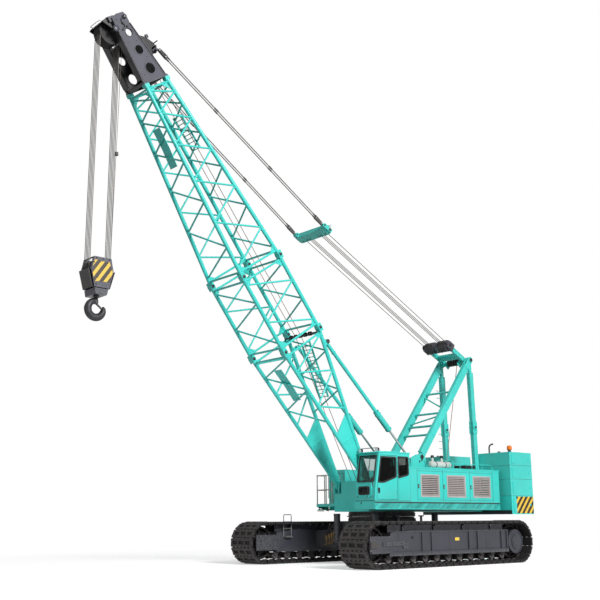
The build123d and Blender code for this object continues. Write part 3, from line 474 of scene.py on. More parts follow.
def shoe_forms(piece):
    """One cast shoe, flat side out at z = 0: plate, two bars, cross pieces, hinge and drive lugs."""
    p, half = PITCH, SHOE_WIDTH / 2
    # the plate, seen in the pits between the bars, takes the darker pit steel: painted shade
    piece.plate(both_ways([(-0.42 * p, -0.1), (-0.42 * p, -0.06), (-0.4 * p, -0.038)]), 0, half, 1)
    for x in (-0.3 * p, 0.3 * p):
        piece.plate(moved(both_ways([(-0.052, -0.04), (-0.0364, 0)]), x, 0), 0, half)
    for y in (-0.56, -0.19, 0.19, 0.56):
        piece.box(-0.3 * p, 0.3 * p, y - 0.05, y + 0.05, -0.04, -0.004)
    for i in range(6):
        y = 0.2 * i - 0.5
        piece.box(0.4 * p, 0.6 * p, y - 0.05, y + 0.05, -0.1, -0.03, 2)
    for y in (-0.17, 0.17):
        piece.plate(both_ways([(-0.2 * p, -0.148), (-0.36 * p, -0.1)]), y, 0.045)


ROLLER = both_ways([(-0.26, 0.08), (-0.26, 0.12), (-0.225, 0.134), (-0.19, 0.134), (-0.175, 0.11)])
ROLLER_CAP = [(0.0, 0.075), (0.012, 0.07), (0.016, 0.03), (0.03, 0.028), (0.03, 0.01)]
CARRIER = both_ways([(-0.28, 0.03), (-0.24, 0.03), (-0.24, 0.05), (-0.2, 0.067)])
HANGER = both_ways([(-0.05, 0.27), (-0.14, 0.41)])
WHEEL = both_ways([(-0.335, 0.13), (-0.15, 0.14), (-0.1, 0.2), (-0.045, 0.24), (-0.04, 0.48), (-0.15, 0.52),
                   (-0.15, 0.575), (-0.13, 0.59)])
DRIVE_HUB = [(0.16, 0.3), (0.17, 0.4), (0.32, 0.43), (0.4, 0.43), (0.41, 0.4), (0.42, 0.28), (0.455, 0.27),
             (0.46, 0.2), (0.48, 0.19), (0.48, 0.06)]
WHEEL_Z, ROLLER_Z, CARRIER_Z, ROLLER_STEP = 0.75, 0.287, 1.279, 0.59
ROLLER_XS = [ROLLER_STEP * (i - 5) for i in range(11)]

rollers = Piece("track_rollers_turned", "undercarriage", roller_steel, greased)
idlers = Piece("idlers_cast", "undercarriage", greased, dark)
sprockets = Piece("sprockets_cast", "undercarriage", greased, dark)
for name, side in SIDES:
    y0 = side * GAUGE / 2
    track = Piece(f"track_shoes_{name}", "undercarriage", shoe, shoe_pit_painted_shade, shoe_lug)
    for i in range(SHOE_COUNT):
        place, turn = on_track((i + 0.5) * PITCH)
        track.place = Matrix.Translation(place + Vector((0, y0, 0))) @ Matrix.Rotation(turn, 4, "Y")
        shoe_forms(track)
    track.done(0.005, [f"track_{name}"], 1)
    for x in ROLLER_XS:
        rollers.cap(x, y0, ROLLER_Z, 1, ROLLER)
        for step in BOTH:
            rollers.cap(x, y0 + step * 0.26, ROLLER_Z, step * 0.74, ROLLER_CAP, 0, 20)
            rollers.prism(moved(HANGER, x, 0), y0 + step * 0.268, y0 + step * 0.3, 1)
    for x in (-2.3, -0.75, 0.75, 2.3):
        rollers.cap(x, y0, CARRIER_Z, 1, CARRIER, 1)
    for piece, x in ((idlers, TRACK_REACH), (sprockets, -TRACK_REACH)):
        piece.cap(x, y0, WHEEL_Z, 1, WHEEL, 0, 48)
        for i in range(8):
            a = pi / 4 * i
            spoke = [(radius * cos(a + out), radius * sin(a + out))
                     for radius, out in ((0.2, -0.1), (0.5, -0.04), (0.5, 0.04), (0.2, 0.1))]
            for step in BOTH:
                piece.prism(moved(spoke, x, WHEEL_Z), y0 + step * 0.03, y0 + step * 0.11)
    sprockets.cap(-TRACK_REACH, y0, WHEEL_Z, side, DRIVE_HUB, 1, 40)
    for x, z in around(16, 0.345):
        sprockets.bolt((x - TRACK_REACH, y0 + side * 0.415, WHEEL_Z + z), (0, side, 0), 0.017, 1)
    for step in (-0.3, 0.3):
        idlers.box(TRACK_REACH - 0.12, TRACK_REACH + 0.12, y0 + step - 0.03, y0 + step + 0.03, 0.62, 0.88, 1)
rollers.done(0.003, ["track_rollers"])
idlers.done(0.005, ["idlers"])
sprockets.done(0.005, ["sprockets"])

# side frames: ledges, covers, seams and a yellow plate, each (x0, x1, z0, z1, depth, look)
FACE = 3.3
FACE_FORMS = (
    (2.95, 3.9, 0.5, 0.56, 0.045, 0), (3.0, 3.85, 0.96, 1.0, 0.02, 0), (2.35, 3.35, 0.72, 0.86, 0.03, 0),
    (2.2, 2.42, 0.62, 0.8, 0.035, 0), (3.55, 3.9, 0.64, 0.86, 0.03, 1), (-2.9, 2.9, 1.14, 1.17, 0.025, 0),
    (2.6, 2.612, 0.53, 1.13, 0.006, 1), (0.1, 0.112, 0.53, 1.13, 0.006, 1),
    (-1.9, -1.888, 0.53, 1.13, 0.006, 1), (-0.42, -0.2, 0.84, 0.94, 0.008, 2),
)
dress = Piece("side_frame_fittings", "undercarriage", dark, greased, yellow, zinc)
for side in BOTH:
    for x0, x1, z0, z1, depth, look in FACE_FORMS:
        dress.box(x0, x1, side * FACE, side * (FACE + depth), z0, z1, look)
    for x in (2.5, 2.95, 3.25):
        dress.bolt((x, side * (FACE + 0.03), 0.79), (0, side, 0), 0.02, 1)
    dress.cap(1.95, side * FACE, 0.98, side, [(0, 0.045), (0.03, 0.04), (0.034, 0.02)], 1, 20)
    for i in range(14):
        dress.bolt((-2.95 + 0.45 * i, side * (FACE + 0.06), 0.46), (0, side, 0), 0.014, 1)
    # guards between the carrier rollers, plates between the track rollers
    for x0, x1 in ((-3.0, -2.375), (-2.225, -0.825), (-0.675, 0.675), (0.825, 2.225), (2.375, 3.0)):
        for y in (2.62, 3.16):
            dress.box(x0, x1, side * y, side * (y + 0.02), 1.15, 1.385)
    for x in ROLLER_XS[:-1]:
        dress.box(x + 0.125, x + 0.465, side * GAUGE / 2 - 0.01, side * GAUGE / 2 + 0.01, 0.16, 0.42)
# ladder on the inner face of the right track
LADDER_Y = -2.5
for x, bent in ((2.29, 2.31), (2.66, 2.64)):
    rail_line = ((x, 0.95), (x, 1.7), (bent, 1.75), (2.475, 1.752))
    dress.tube([(x, LADDER_Y, z) for x, z in rail_line], 0.017, 3, 8)
for z in (0.97, 1.25, 1.5):
    dress.rod((2.29, LADDER_Y, z), (2.66, LADDER_Y, z), 0.014, 3, 8)
dress.box(2.31, 2.64, LADDER_Y - 0.02, LADDER_Y + 0.12, 0.93, 0.955, 3)
dress.done(0.003)

# carbody: end covers, ring of bolts, jack collars, valves and pipes on the cross beams, bolts on the beams
lower = Piece("carbody_fittings", "undercarriage", dark, greased, brass, zinc)
for y0, y1 in ((-1.3, -0.72), (-0.3, 0.3), (0.72, 1.3)):
    for x, step in ((1.15, 1), (-1.5, -1)):
        lower.box(x, x + step * 0.012, y0, y1, 0.98, 1.38)
        for y in (y0 + 0.06, y1 - 0.06):
            for z in (1.03, 1.33):
                lower.bolt((x + step * 0.012, y, z), (step, 0, 0), 0.013)
lower.ring((0, 0, 1.47), (0, 0, 1.5), 1.29, 1.19, 0, 64)
for x, y in around(36, 1.245):
    lower.bolt((x, y, 1.5), (0, 0, 1), 0.017, 1)
for x, face in ((-1.8, -1.5), (1.34, 1.15)):
    for y in BOTH:
        lower.post(x, y, 1.7, [(0, 0.128), (0.06, 0.128), (0.075, 0.118)])
        lower.post(x, y, 0.78, [(0, 0.128), (0.03, 0.13), (0.05, 0.12)])
        lower.ring((x, y, 1.0), (x, y, 1.03), 0.131, 0.118)
        lower.box(min(x, face), max(x, face), y - 0.1, y + 0.1, 1.33, 1.352)
for side in BOTH:
    for i, y in enumerate((1.47, 1.6, 1.74, 1.9)):
        y, top = y * side, 1.12 - 0.05 * i
        lower.box(1.03, 1.075, y - 0.045, y + 0.045, top - 0.14, top, 2)
        lower.rod((1.055, y, top - 0.2), (1.055, y, top + 0.03), 0.02, 2, 10)
        rising = [(1.055, 0, top), (1.07, 0, top + 0.08), (1.13, 0.05, top + 0.17),
                  (1.17, 0.2, top + 0.24 - 0.01 * i), (1.16, 0.34, 1.4)]
        falling = [(1.055, 0, top - 0.16), (1.06, 0, top - 0.24), (1.08, -0.04, top - 0.33),
                   (1.075, -0.14, 0.66)]
        lower.tube([(x, y - side * inward, z) for x, inward, z in rising], 0.016, 1, 8)
        lower.tube([(x, y - side * inward, z) for x, inward, z in falling], 0.018, 2, 8)
    lower.box(1.03, 1.05, side * 1.42, side * 1.98, 0.68, 1.16)
    lower.box(1.03, 1.045, side * 2.05, side * 2.5, 1.08, 1.14)
    for x in (-1.05, 0.7):
        for out, step in ((-0.345, -1), (0.345, 1)):
            for z in (0.64, 1.1):
                lower.bolt((x + out, side * 2.42, z), (step, 0, 0), 0.02)
lower.done(0.003)

# slewing ring: geared lower race
RACE = [(0, 1.1), (0, 1.205), (0.03, 1.215), (0.12, 1.215), (0.13, 1.2), (0.188, 1.2), (0.188, 1.1)]
TOOTH = [[0, 2, 3, 1], [4, 5, 7, 6], [0, 1, 5, 4], [2, 6, 7, 3], [1, 3, 7, 5], [0, 4, 6, 2]]
race = Piece("slewing_race", "undercarriage", greased, dark)
race.post(0, 0, 1.47, RACE, 0, 96)
for c, s in around(96):
    race.add([(r * c + step * half * s, r * s - step * half * c, z)
              for r, half in ((1.2, 0.02), (1.25, 0.012)) for step in (-1, 1) for z in (1.49, 1.6)], TOOTH)
race.done(0.002, ["slew_ring_lower"])


# ---- boom head, sheaves, hook block and hook ---------------------------------------------
def grooved(piece, x, y, z, groove=0.34, rim=0.4, half=0.041, look=0, sides=48):
    """A rope sheave on a shaft along Y."""
    shape = [(1, rim * 0.28), (1, rim * 0.3), (0.45, rim * 0.34), (0.4, groove * 0.84), (0.92, groove * 0.9),
             (0.92, rim), (0.6, rim), (0.25, groove * 1.03)]
    profile = both_ways([(-half * at, radius) for at, radius in shape], [(0, groove)])
    piece.cap(x, y, z, 1, profile, look, sides)


def curved(centre, outer, inner, start, end, steps):
    """Outline of a curved band."""
    return arc(centre, outer, start, end, steps) + arc(centre, inner, end, start, steps)


SHEAVE_YS = [0.084 * (i - 2) for i in range(5)]
LINE_YS = (-0.15, 0.15)
HEAD_SHAFT = boom_point(17.85, -1.05)
DEFLECTOR = boom_point(16.92, 0.08)
sheaves = Piece("head_sheaves_turned", "boom", sheave_steel, forged)
for y in SHEAVE_YS:
    grooved(sheaves, HEAD_SHAFT.x, y, HEAD_SHAFT.z)
for y in LINE_YS:
    grooved(sheaves, DEFLECTOR.x, y, DEFLECTOR.z, 0.155, 0.19, 0.035, 0, 36)
sheaves.done(0.0015, ["head_sheaves"])

trim = Piece("boom_head_fittings", "boom", head_paint, greased, zinc)
trim.place = BOOM
CHEEK_FACE, SHAFT_PLACE = 0.56, (17.85, -1.05)
TIP_KNOB = [(0, 0.075), (0.05, 0.075), (0.06, 0.055), (0.1, 0.05), (0.105, 0.03)]
TIP_CABLE = ((18.1, 0.02, -0.7), (17.95, 0.03, -0.77), (17.88, 0.03, -0.68), (17.8, 0.03, -0.75),
             (17.74, 0.02, -0.84))
CHEEK_STRIPS = (
    ([(15.93, -0.985), (18.17, -1.012), (18.17, -0.997), (15.93, -0.97)], 0.006, 1),
    ([(15.93, -0.11), (17.86, -0.515), (17.86, -0.495), (15.93, -0.09)], 0.006, 1),
    ([(15.93, -0.05), (17.88, -0.465), (17.88, -0.44), (15.93, -0.025)], 0.03, 0),
    ([(16.1, -1.04), (18.2, -1.04), (18.2, -1.02), (16.1, -1.02)], 0.02, 0),
)
for side in BOTH:
    face = side * CHEEK_FACE
    for outline, depth, look in CHEEK_STRIPS:
        trim.prism(outline, face, face + side * depth, look)
    for s, n, r in ((17.61, -0.65, 0.13), (16.99, -0.59, 0.15), (16.32, -0.51, 0.18)):
        trim.washer(s, n, face, face + side * 0.012, r + 0.03, r, 0, 36)
    # shaft caps, the knob at the tip and small brackets
    trim.cap(17.85, face, -1.05, side, [(0, 0.11), (0.02, 0.11), (0.03, 0.09), (0.05, 0.05)])
    for s, n in moved(around(4, 0.085, pi / 4), *SHAFT_PLACE):
        trim.bolt((s, face + side * 0.02, n), (0, side, 0), 0.012, 1)
    trim.cap(18.12, face, -0.56, side, TIP_KNOB, 0, 24)
    for s, n, w in ((17.93, -0.72, 0.05), (17.8, -0.62, 0.035), (17.74, -0.84, 0.028)):
        trim.box(s - w, s + w, face, face + side * 0.045, n - 0.025, n + 0.025, 1)
        trim.bolt((s, face + side * 0.045, n), (0, side, 0), 0.014, 1)
    trim.tube([(s, face + side * out, n) for s, out, n in TIP_CABLE], 0.012, 1, 8)
    for s, n in ((16.18, -0.3), (16.18, -0.85), (16.7, -0.42), (17.28, -0.5), (17.3, -0.88), (18.1, -0.9)):
        trim.bolt((s, face, n), (0, side, 0), 0.016)
    # plates on the joint with the tip section, the pendant lug's washer, a rope guard in front
    trim.box(15.9, 15.96, side * 0.46, face + side * 0.02, -1.03, -0.88)
    trim.box(15.9, 15.96, side * 0.46, face + side * 0.02, -0.12, 0.03)
    trim.cap(16.79, side * 0.44, 0.06, side, [(0, 0.075), (0.03, 0.075), (0.035, 0.05)], 0, 24)
    trim.box(18.1, 18.28, side * 0.5, side * 0.53, -1.14, -0.9)
    trim.prism(arc(SHAFT_PLACE, 0.45, -38, 62, 16) + [SHAFT_PLACE], side * 0.42, side * 0.44, 1)
trim.rod((17.06, -0.44, 0.24), (17.06, 0.6, 0.24), 0.02)
trim.rod((17.34, -0.44, 0.06), (17.34, 0.46, 0.06), 0.028)
trim.box(17.28, 17.4, 0.4, 0.46, 0.0, 0.1)
# wire guide loop below the tip
loop = ((18.24, -0.3, -1.2), (18.3, -0.3, -1.3), (18.3, -0.2, -1.36))
trim.tube([*loop, *((s, -y, n) for s, y, n in loop[::-1])], 0.012, 2, 8)
# curved cover over the front of the sheaves
trim.plate(curved(SHAFT_PLACE, 0.445, 0.425, -30, 58, 12), 0, 0.42, 1)
trim.plate([(18.12, -0.72), (18.29, -0.78), (18.29, -0.5), (18.2, -0.45), (18.12, -0.5)], 0, 0.555)
for y in (-0.36, -0.12, 0.12, 0.36):
    trim.plate(curved(SHAFT_PLACE, 0.462, 0.44, -4, 54, 8), y, 0.012)
trim.done(0.003)

BLOCK_Z = 8.95
SHAFT_X = HEAD_SHAFT.x
CHEEK = both_ways([(-0.25, -0.5), (-0.38, 0.05), (-0.29, 0.45)])
STRIPED = [(-0.275, -0.3), (0.275, -0.33), (0.352, 0.03), (0.285, 0.33), (0.1, 0.36), (0.06, 0.31),
           (-0.22, 0.34), (-0.352, 0.05)]
block = Piece("hook_block_cheeks", "hoist_line", head_paint, stripes, greased, forged)


def block_form(outline, y0, y1, look=0):
    block.prism(moved(outline, SHAFT_X, BLOCK_Z), y0, y1, look)


for side in BOTH:
    block_form(CHEEK, side * 0.3, side * 0.344)
    block_form(STRIPED, side * 0.344, side * 0.348, 1)
    for x, z in ((-0.22, 0.4), (0.0, 0.4), (0.22, 0.4), (0.3, 0.26), (0.2, -0.42)):
        block.bolt((SHAFT_X + x, side * 0.344, BLOCK_Z + z), (0, side, 0), 0.022, 2)
    # edge flanges
    for x in BOTH:
        low_edge = [(x * 0.38, 0.05), (x * 0.35, 0.05), (x * 0.222, -0.5), (x * 0.25, -0.5)]
        high_edge = [(x * 0.38, 0.05), (x * 0.29, 0.45), (x * 0.26, 0.45), (x * 0.35, 0.05)]
        block_form(low_edge, side * 0.22, side * 0.3)
        block_form(high_edge, side * 0.24, side * 0.3)
    # slot and step on the trunk's ends
    block_form([(-0.05, -0.6), (0.07, -0.6), (0.07, -0.58), (-0.05, -0.58)], side * 0.33, side * 0.334, 2)
    block.box(SHAFT_X - 0.07, SHAFT_X + 0.07, side * 0.33, side * 0.345, BLOCK_Z - 0.69, BLOCK_Z - 0.64)
    # guards beside the sheaves, rods and the trunk's bolts
    guard = [(side * 0.46, 0.06), (side * 0.44, 0.06), (side * 0.285, -0.5), (side * 0.305, -0.5)]
    block_form(guard, -0.298, 0.298, 2)
    for y in (-0.21, 0.21):
        x = SHAFT_X + side * 0.16
        block.rod((x, y, BLOCK_Z - 0.53), (x, y, BLOCK_Z - 0.49), 0.05, 2)
    x = SHAFT_X + side * 0.3
    block.rod((x, -0.3, BLOCK_Z + 0.42), (x, 0.3, BLOCK_Z + 0.42), 0.024, 2)
block_form(both_ways([(-0.222, -0.5), (-0.19, -0.46)]), -0.3, 0.3)
# curved guard over the sheaves, clear of the ropes, and the trunk below
block_form(curved((0, 0), 0.428, 0.41, 41, 139, 10), -0.298, 0.298, 2)
block_form(both_ways([(-0.232, -0.52), (-0.19, -0.71)]), -0.33, 0.33)
block.rod((SHAFT_X, -0.33, BLOCK_Z), (SHAFT_X, 0.33, BLOCK_Z), 0.055, 3)
block.done(0.003, ["hook_block"])
low_sheaves = Piece("block_sheaves_turned", "hoist_line", sheave_steel)
for y in SHEAVE_YS:
    grooved(low_sheaves, SHAFT_X, y, BLOCK_Z)
low_sheaves.done(0.0015, ["block_sheaves"])

# hook: a thick back that tapers to its tip, a nut and a latch
HOOK_RADIUS, HOOK_Z, HOOK_STEPS = 0.258, 7.84, 40
HOOK_WIDTHS = ((0.0, 0.08), (0.12, 0.1), (0.3, 0.117), (0.7, 0.117), (0.86, 0.1), (0.95, 0.075), (1.0, 0.03))
NECK = [(0, 0.07), (0.05, 0.082), (0.1, 0.078), (0.16, 0.062), (0.2, 0.06), (0.205, 0.1), (0.225, 0.104),
        (0.23, 0.07)]
curl, widths = [], []
for i in range(HOOK_STEPS + 1):
    share = i / HOOK_STEPS
    a = radians(90 - 292 * share)
    reach = HOOK_RADIUS + 0.03 * max(0.0, share - 0.75)
    curl.append((SHAFT_X + reach * cos(a), 0, HOOK_Z + reach * sin(a)))
    for (t0, w0), (t1, w1) in zip(HOOK_WIDTHS, HOOK_WIDTHS[1:]):
        if t0 <= share <= t1:
            width = w0 + (w1 - w0) * (share - t0) / (t1 - t0)
    widths.append(width)
hook = Piece("hook_forging", "hook", forged, greased)
hook.tube(curl, widths, 0, 20)
hook.post(SHAFT_X, 0, HOOK_Z + 0.16, NECK)
tip = curl[-3]
latch = [(SHAFT_X - 0.01, HOOK_Z + 0.2), (SHAFT_X + 0.012, HOOK_Z + 0.17), (tip[0] + 0.03, tip[2] - 0.035),
         (tip[0] + 0.05, tip[2])]
hook.plate(latch, 0, 0.045, 1)
hook.rod((SHAFT_X - 0.01, -0.085, HOOK_Z + 0.19), (SHAFT_X - 0.01, 0.085, HOOK_Z + 0.19), 0.016, 1)
hook.done(0, ["hook"], 1, 60)

# ---- upper structure: decks, houses, lamps, rails ----------------------------------------
FRONT_X, REAR_X, OUTER = 2.25, -4.61, 1.9
PANEL_SEAMS = (-4.2, -2.83, -1.3, 0.08)
ROOF_EYE = both_ways([(-0.05, 3.4), (-0.045, 3.45)], [(0, 3.475)])
ROOF_RAIL = ((-4.5, 3.39), (-4.5, 3.56), (-4.46, 3.6), (-2.04, 3.6), (-2.0, 3.56), (-2.0, 3.39))
deck = Piece("deck_and_house_fittings", "upperstructure", teal, greased, grey, rail, zinc, rubber)


def wall(side, x0, x1, z0, z1, depth, look=0, sunk=0.0):
    """A form on the outer face of the decks and houses."""
    deck.box(x0, x1, side * (OUTER - sunk), side * (OUTER + depth), z0, z1, look)


def house_side(side):
    """What is the same on both long sides."""
    low_front, top_front = (FRONT_X, 0.44) if side > 0 else (0.88, 0.88)
    # folded edge of the deck, a painted shadow (a dark strip under its upper edge), seams, bolts under the
    # houses
    wall(side, REAR_X, low_front, 1.9, 1.925, 0.012, 0, 0.02)
    wall(side, REAR_X, low_front, 2.16, 2.185, 0.012, 0, 0.02)
    # painted shadow: a dark strip of greased steel under the deck's upper edge
    wall(side, REAR_X, low_front, 2.115, 2.155, 0.004, 1, 0.02)
    for x in (-4.3, -3.02, -2.55, -1.52, -1.08, 0.42, 0.88):
        wall(side, x - 0.004, x + 0.004, 1.93, 2.15, 0.004, 1)
    for i in range(24):
        x = REAR_X + 0.16 + 0.28 * i
        if x < low_front - 0.05:
            deck.bolt((x, side * OUTER, 1.99), (0, side, 0), 0.011, 4)
    # rain gutter, door seams, recessed latch handles, hinges, lifting eyes
    deck.box(REAR_X - 0.012, top_front, side, side * (OUTER + 0.014), 3.385, 3.402)
    wall(side, REAR_X - 0.012, top_front, 3.34, 3.39, 0.014, 0, -0.002)
    for x in PANEL_SEAMS:
        wall(side, x - 0.005, x + 0.005, 2.2, 3.33, 0.005, 1)
    for x0, x1 in zip(PANEL_SEAMS, PANEL_SEAMS[1:]):
        for z in (2.235, 3.26):
            wall(side, x0, x1, z - 0.004, z + 0.004, 0.005, 1)
        wall(side, x1 - 0.095, x1 - 0.025, 2.645, 2.795, 0.006, 1)
        wall(side, x1 - 0.08, x1 - 0.04, 2.675, 2.77, 0.022, 4)
        for z in (2.42, 3.08):
            x, y = x0 + 0.005, side * (OUTER + 0.012)
            deck.rod((x, y, z - 0.05), (x, y, z + 0.05), 0.012, 0, 10)
    for x in (-4.4, -3.5, -2.0, -0.6):
        deck.tube([(x + along, side * 1.78, z) for along, z in ROOF_EYE], 0.013, 0, 8)
    # louvre frames standing proud, with their screws
    for x0, x1 in ((-1.1, -0.09), (-2.58, -1.52), (-4.06, -3.01)):
        frame_bars = ((x0, x1, 3.115, 3.145), (x0, x1, 2.335, 2.365), (x0, x0 + 0.03, 2.365, 3.115),
                      (x1 - 0.03, x1, 2.365, 3.115))
        for bar in frame_bars:
            wall(side, *bar, 0.014, 2, 0.03)
        for x in (x0 + 0.035, (x0 + x1) / 2, x1 - 0.035):
            for z in (2.375, 3.105):
                deck.bolt((x, side * (OUTER - 0.001), z), (0, side, 0), 0.009, 4)
    # handrail on the roof
    y = side * 1.66
    for x in (-3.9, -3.3, -2.6):
        deck.rod((x, y, 3.39), (x, y, 3.58), 0.012)
        deck.box(x - 0.04, x + 0.04, y - 0.04, y + 0.04, 3.39, 3.402)
    deck.tube([(x, y, z) for x, z in ROOF_RAIL], 0.013)


for side in BOTH:
    house_side(side)
# right house front: grab rail, a door's seams, a vent and a latch
deck.tube([(0.86, -1.93, 2.35), (0.86, -1.97, 2.37), (0.86, -1.97, 3.2), (0.86, -1.93, 3.22)], 0.014, 3, 8)
deck.boxes(1, (0.9, 0.906, -1.82, -1.08, 2.24, 2.25), (0.9, 0.906, -1.82, -1.08, 3.26, 3.27),
           (0.9, 0.906, -1.82, -1.81, 2.24, 3.27), (0.9, 0.906, -1.09, -1.08, 2.24, 3.27),
           (0.9, 0.925, -1.2, -1.14, 2.6, 2.75))
for i in range(6):
    deck.box(0.9, 0.914, -1.7, -1.25, 2.9 + 0.05 * i, 2.92 + 0.05 * i, 2)
# chamfered plate on the front of the cab's deck, with a dark cap
deck.prism([(2.25, 1.9), (2.25, 2.18), (2.262, 2.17), (2.262, 1.91)], 0.92, 1.89)
deck.lathe((2.262, 1.24, 2.12), (3.262, 1.24, 2.12), [(0, 0.032), (0.008, 0.03), (0.01, 0.012)], 1, 20)
deck.done(0.003)

# girders: flange edges, web stiffeners and pins that are seen between the decks
girder = Piece("main_frame_fittings", "upperstructure", teal, greased, zinc)
for side in BOTH:
    girder.box(-4.76, 1.55, side * 0.56, side * 0.92, 2.49, 2.512)
    for x in (-4.0, -3.0, -2.2):
        girder.box(x, x + 0.03, side * 0.9, side * 0.96, 1.9, 2.49)
    girder.washer(BOOM_X + 0.14, BOOM_Z, side * 0.63, side * 0.65, 0.12, 0.078)
    foot_pin = [(0, 0.11), (0.02, 0.11), (0.025, 0.08), (0.04, 0.078), (0.045, 0.05)]
    girder.cap(1.43, side * 0.908, 2.8, side, foot_pin, 1)
    for x, z in moved(around(3, 0.093, 0.5), 1.43, 2.8):
        girder.bolt((x, side * 0.928, z), (0, side, 0), 0.012, 2)
    girder.cap(-1.37, side * 0.85, 3.86, side, [(0, 0.085), (0.02, 0.085), (0.03, 0.05)], 1, 24)
    for x in (-1.75, -1.35, -0.95, -0.65):
        girder.bolt((x, side * 0.85, 2.62), (0, side, 0), 0.02, 2)
    girder.prism([(-1.9, 2.5), (-1.5, 3.75), (-1.47, 3.75), (-1.86, 2.5)], side * 0.85, side * 0.875)
    girder.prism([(-0.6, 2.5), (-0.86, 3.7), (-0.83, 3.7), (-0.56, 2.5)], side * 0.85, side * 0.875)
girder.done(0.003)

# dark seal above the slewing race, with its ring of bolts
seal = Piece("slewing_seal", "upperstructure", greased, dark)
SEAL = [(-0.006, 1.2), (-0.006, 1.225), (0.02, 1.235), (0.06, 1.235), (0.07, 1.222), (0.17, 1.222),
        (0.17, 1.2)]
seal.post(0, 0, 1.67, SEAL, 0, 96)
for x, y in around(48, 1.228):
    seal.post(x, y, 1.745, [(0, 0.022), (0.03, 0.022)], 1, 8)
seal.done(0)


# ---- cab: rubber-framed windows, door furniture, wiper, lamps, inside --------------------
def rounded(outline, grow, corner):
    """The outline grown outwards, with round corners."""
    points, out = [Vector(p) for p in outline], []
    cut = corner + grow * 0.6
    for i, point in enumerate(points):
        u = (points[i - 1] - point).normalized()
        v = (points[(i + 1) % len(points)] - point).normalized()
        sine = sqrt(max(0.05, (1 - u.dot(v)) / 2))
        tip = point - (u + v).normalized() * (grow / sine)
        for t in (0, 0.25, 0.5, 0.75, 1):
            p = (tip + u * cut) * (1 - t) ** 2 + tip * (2 * t * (1 - t)) + (tip + v * cut) * t ** 2
            out.append((p.x, p.y))
    return out


def window_frame(piece, outline, low, high, width, look, axis="Y", corner=0.045):
    """A frame round a window: outline and its offset, as one band."""
    outer, inner = rounded(outline, width, corner), rounded(outline, -0.012, corner)
    levels = ((outer, low), (outer, high), (inner, high), (inner, low))
    verts = [laid(p, height, axis) for band, height in levels for p in band]
    faces = wrapped(4, len(outer), True)
    turn = ((winding(outer) > 0) == (axis == "Y")) == (high > low)
    piece.add(verts, [f[::-1] for f in faces] if turn else faces, look)


def window(x0, x1, z0, z1):
    return [(x0, z0), (x1, z0), (x1, z1), (x0, z1)]


CAB_Y = 1.9
LOW_WINDOW = window(1.13, 1.62, 2.42, 2.65)
REAR_PANE = [(0.56, 3.12), (1.04, 3.01), (1.04, 3.69), (0.56, 3.69)]
RIGHT_PANE = [(0.6, 2.9), (2.0, 2.9), (1.88, 3.69), (0.6, 3.69)]
VISOR = [(0.44, 3.845), (0.44, 3.885), (1.98, 3.885), (2.07, 3.865), (2.085, 3.835), (2.0, 3.845)]
WORK_LAMP = [(0, 0.03), (0.03, 0.065), (0.09, 0.08), (0.12, 0.08)]
LEVER_KNOB = [(0, 0.02), (0.02, 0.033), (0.06, 0.034), (0.085, 0.02)]
cab = Piece("cab_fittings", "upperstructure", rubber, teal, greased, plastic, white_lens, zinc, rail)
window_frame(cab, REAR_PANE, CAB_Y - 0.03, CAB_Y + 0.012, 0.045, 0)
window_frame(cab, RIGHT_PANE, 0.908, 0.95, 0.03, 0)
# the windscreen's frame, a teal bar above it and the wiper follow the raked front
RAKE_FOOT, RAKE_TOP = Vector((2.23, 0, 2.56)), Vector((2.0, 0, 3.85))
RAKE = RAKE_TOP - RAKE_FOOT
cab.place = Matrix.Translation(RAKE_FOOT) @ Matrix.Rotation(atan2(RAKE.x, RAKE.z), 4, "Y")
window_frame(cab, window(0.99, 1.79, 0.305, 1.198), -0.03, 0.014, 0.035, 0, "X")
cab.box(0.001, 0.03, 0.94, 1.88, 1.215, 1.245, 1)
cab.rod((0.02, 1.3, 0.275), (0.045, 1.3, 0.275), 0.022, 3)
cab.tube([(0.04, 1.3, 0.275), (0.05, 1.42, 0.55), (0.04, 1.52, 0.82)], 0.008, 3, 6)
cab.box(0.018, 0.034, 1.512, 1.528, 0.5, 1.1)
cab.place = Matrix.Identity(4)
window_frame(cab, LOW_WINDOW, 2.2, 2.254, 0.12, 1, "X", 0.06)
window_frame(cab, LOW_WINDOW, 2.2, 2.262, 0.035, 0, "X", 0.06)
window_frame(cab, window(1.07, 1.75, 3.45, 3.72), 0.448, 0.48, 0.03, 0, "X")
# roof: visor, hatch, work lamps and rail bar
cab.prism(VISOR, 0.9, 1.915, 1)
cab.box(0.8, 1.5, 1.12, 1.7, 3.885, 3.915, 1)
for y in (1.0, 1.82):
    cab.lathe((1.92, y, 3.95), (2.06, y, 3.93), WORK_LAMP, 3, 20)
    cab.lathe((2.035, y, 3.9336), (2.175, y, 3.9136), [(0, 0.07), (0.008, 0.07)], 4, 20)
    cab.rod((1.98, y, 3.88), (1.98, y, 3.93), 0.014, 3)
cab.tube([(2.02, 0.95, 3.88), (2.03, 0.95, 3.98), (2.03, 1.0, 4.0), (2.03, 1.82, 4.0), (2.03, 1.87, 3.98),
          (2.02, 1.87, 3.88)], 0.013, 2, 8)
# handrail, seams, sill and bolts
cab.tube([(2.28, 1.86, 2.66), (2.34, 1.88, 2.68), (2.15, 1.88, 3.62), (2.1, 1.86, 3.64)], 0.013, 3, 8)
cab.boxes(2, (2.25, 2.256, 0.93, 1.89, 2.197, 2.203), (2.25, 2.256, 0.93, 1.89, 2.317, 2.323),
          (2.246, 2.262, 0.96, 1.86, 2.19, 2.2), (0.462, 2.24, CAB_Y, CAB_Y + 0.004, 2.186, 2.2),
          (1.05, 1.056, CAB_Y, CAB_Y + 0.003, 2.24, 3.75))
for x in (0.5, 0.8, 1.0):
    cab.bolt((x, CAB_Y, 2.3), (0, 1, 0), 0.011, 5)
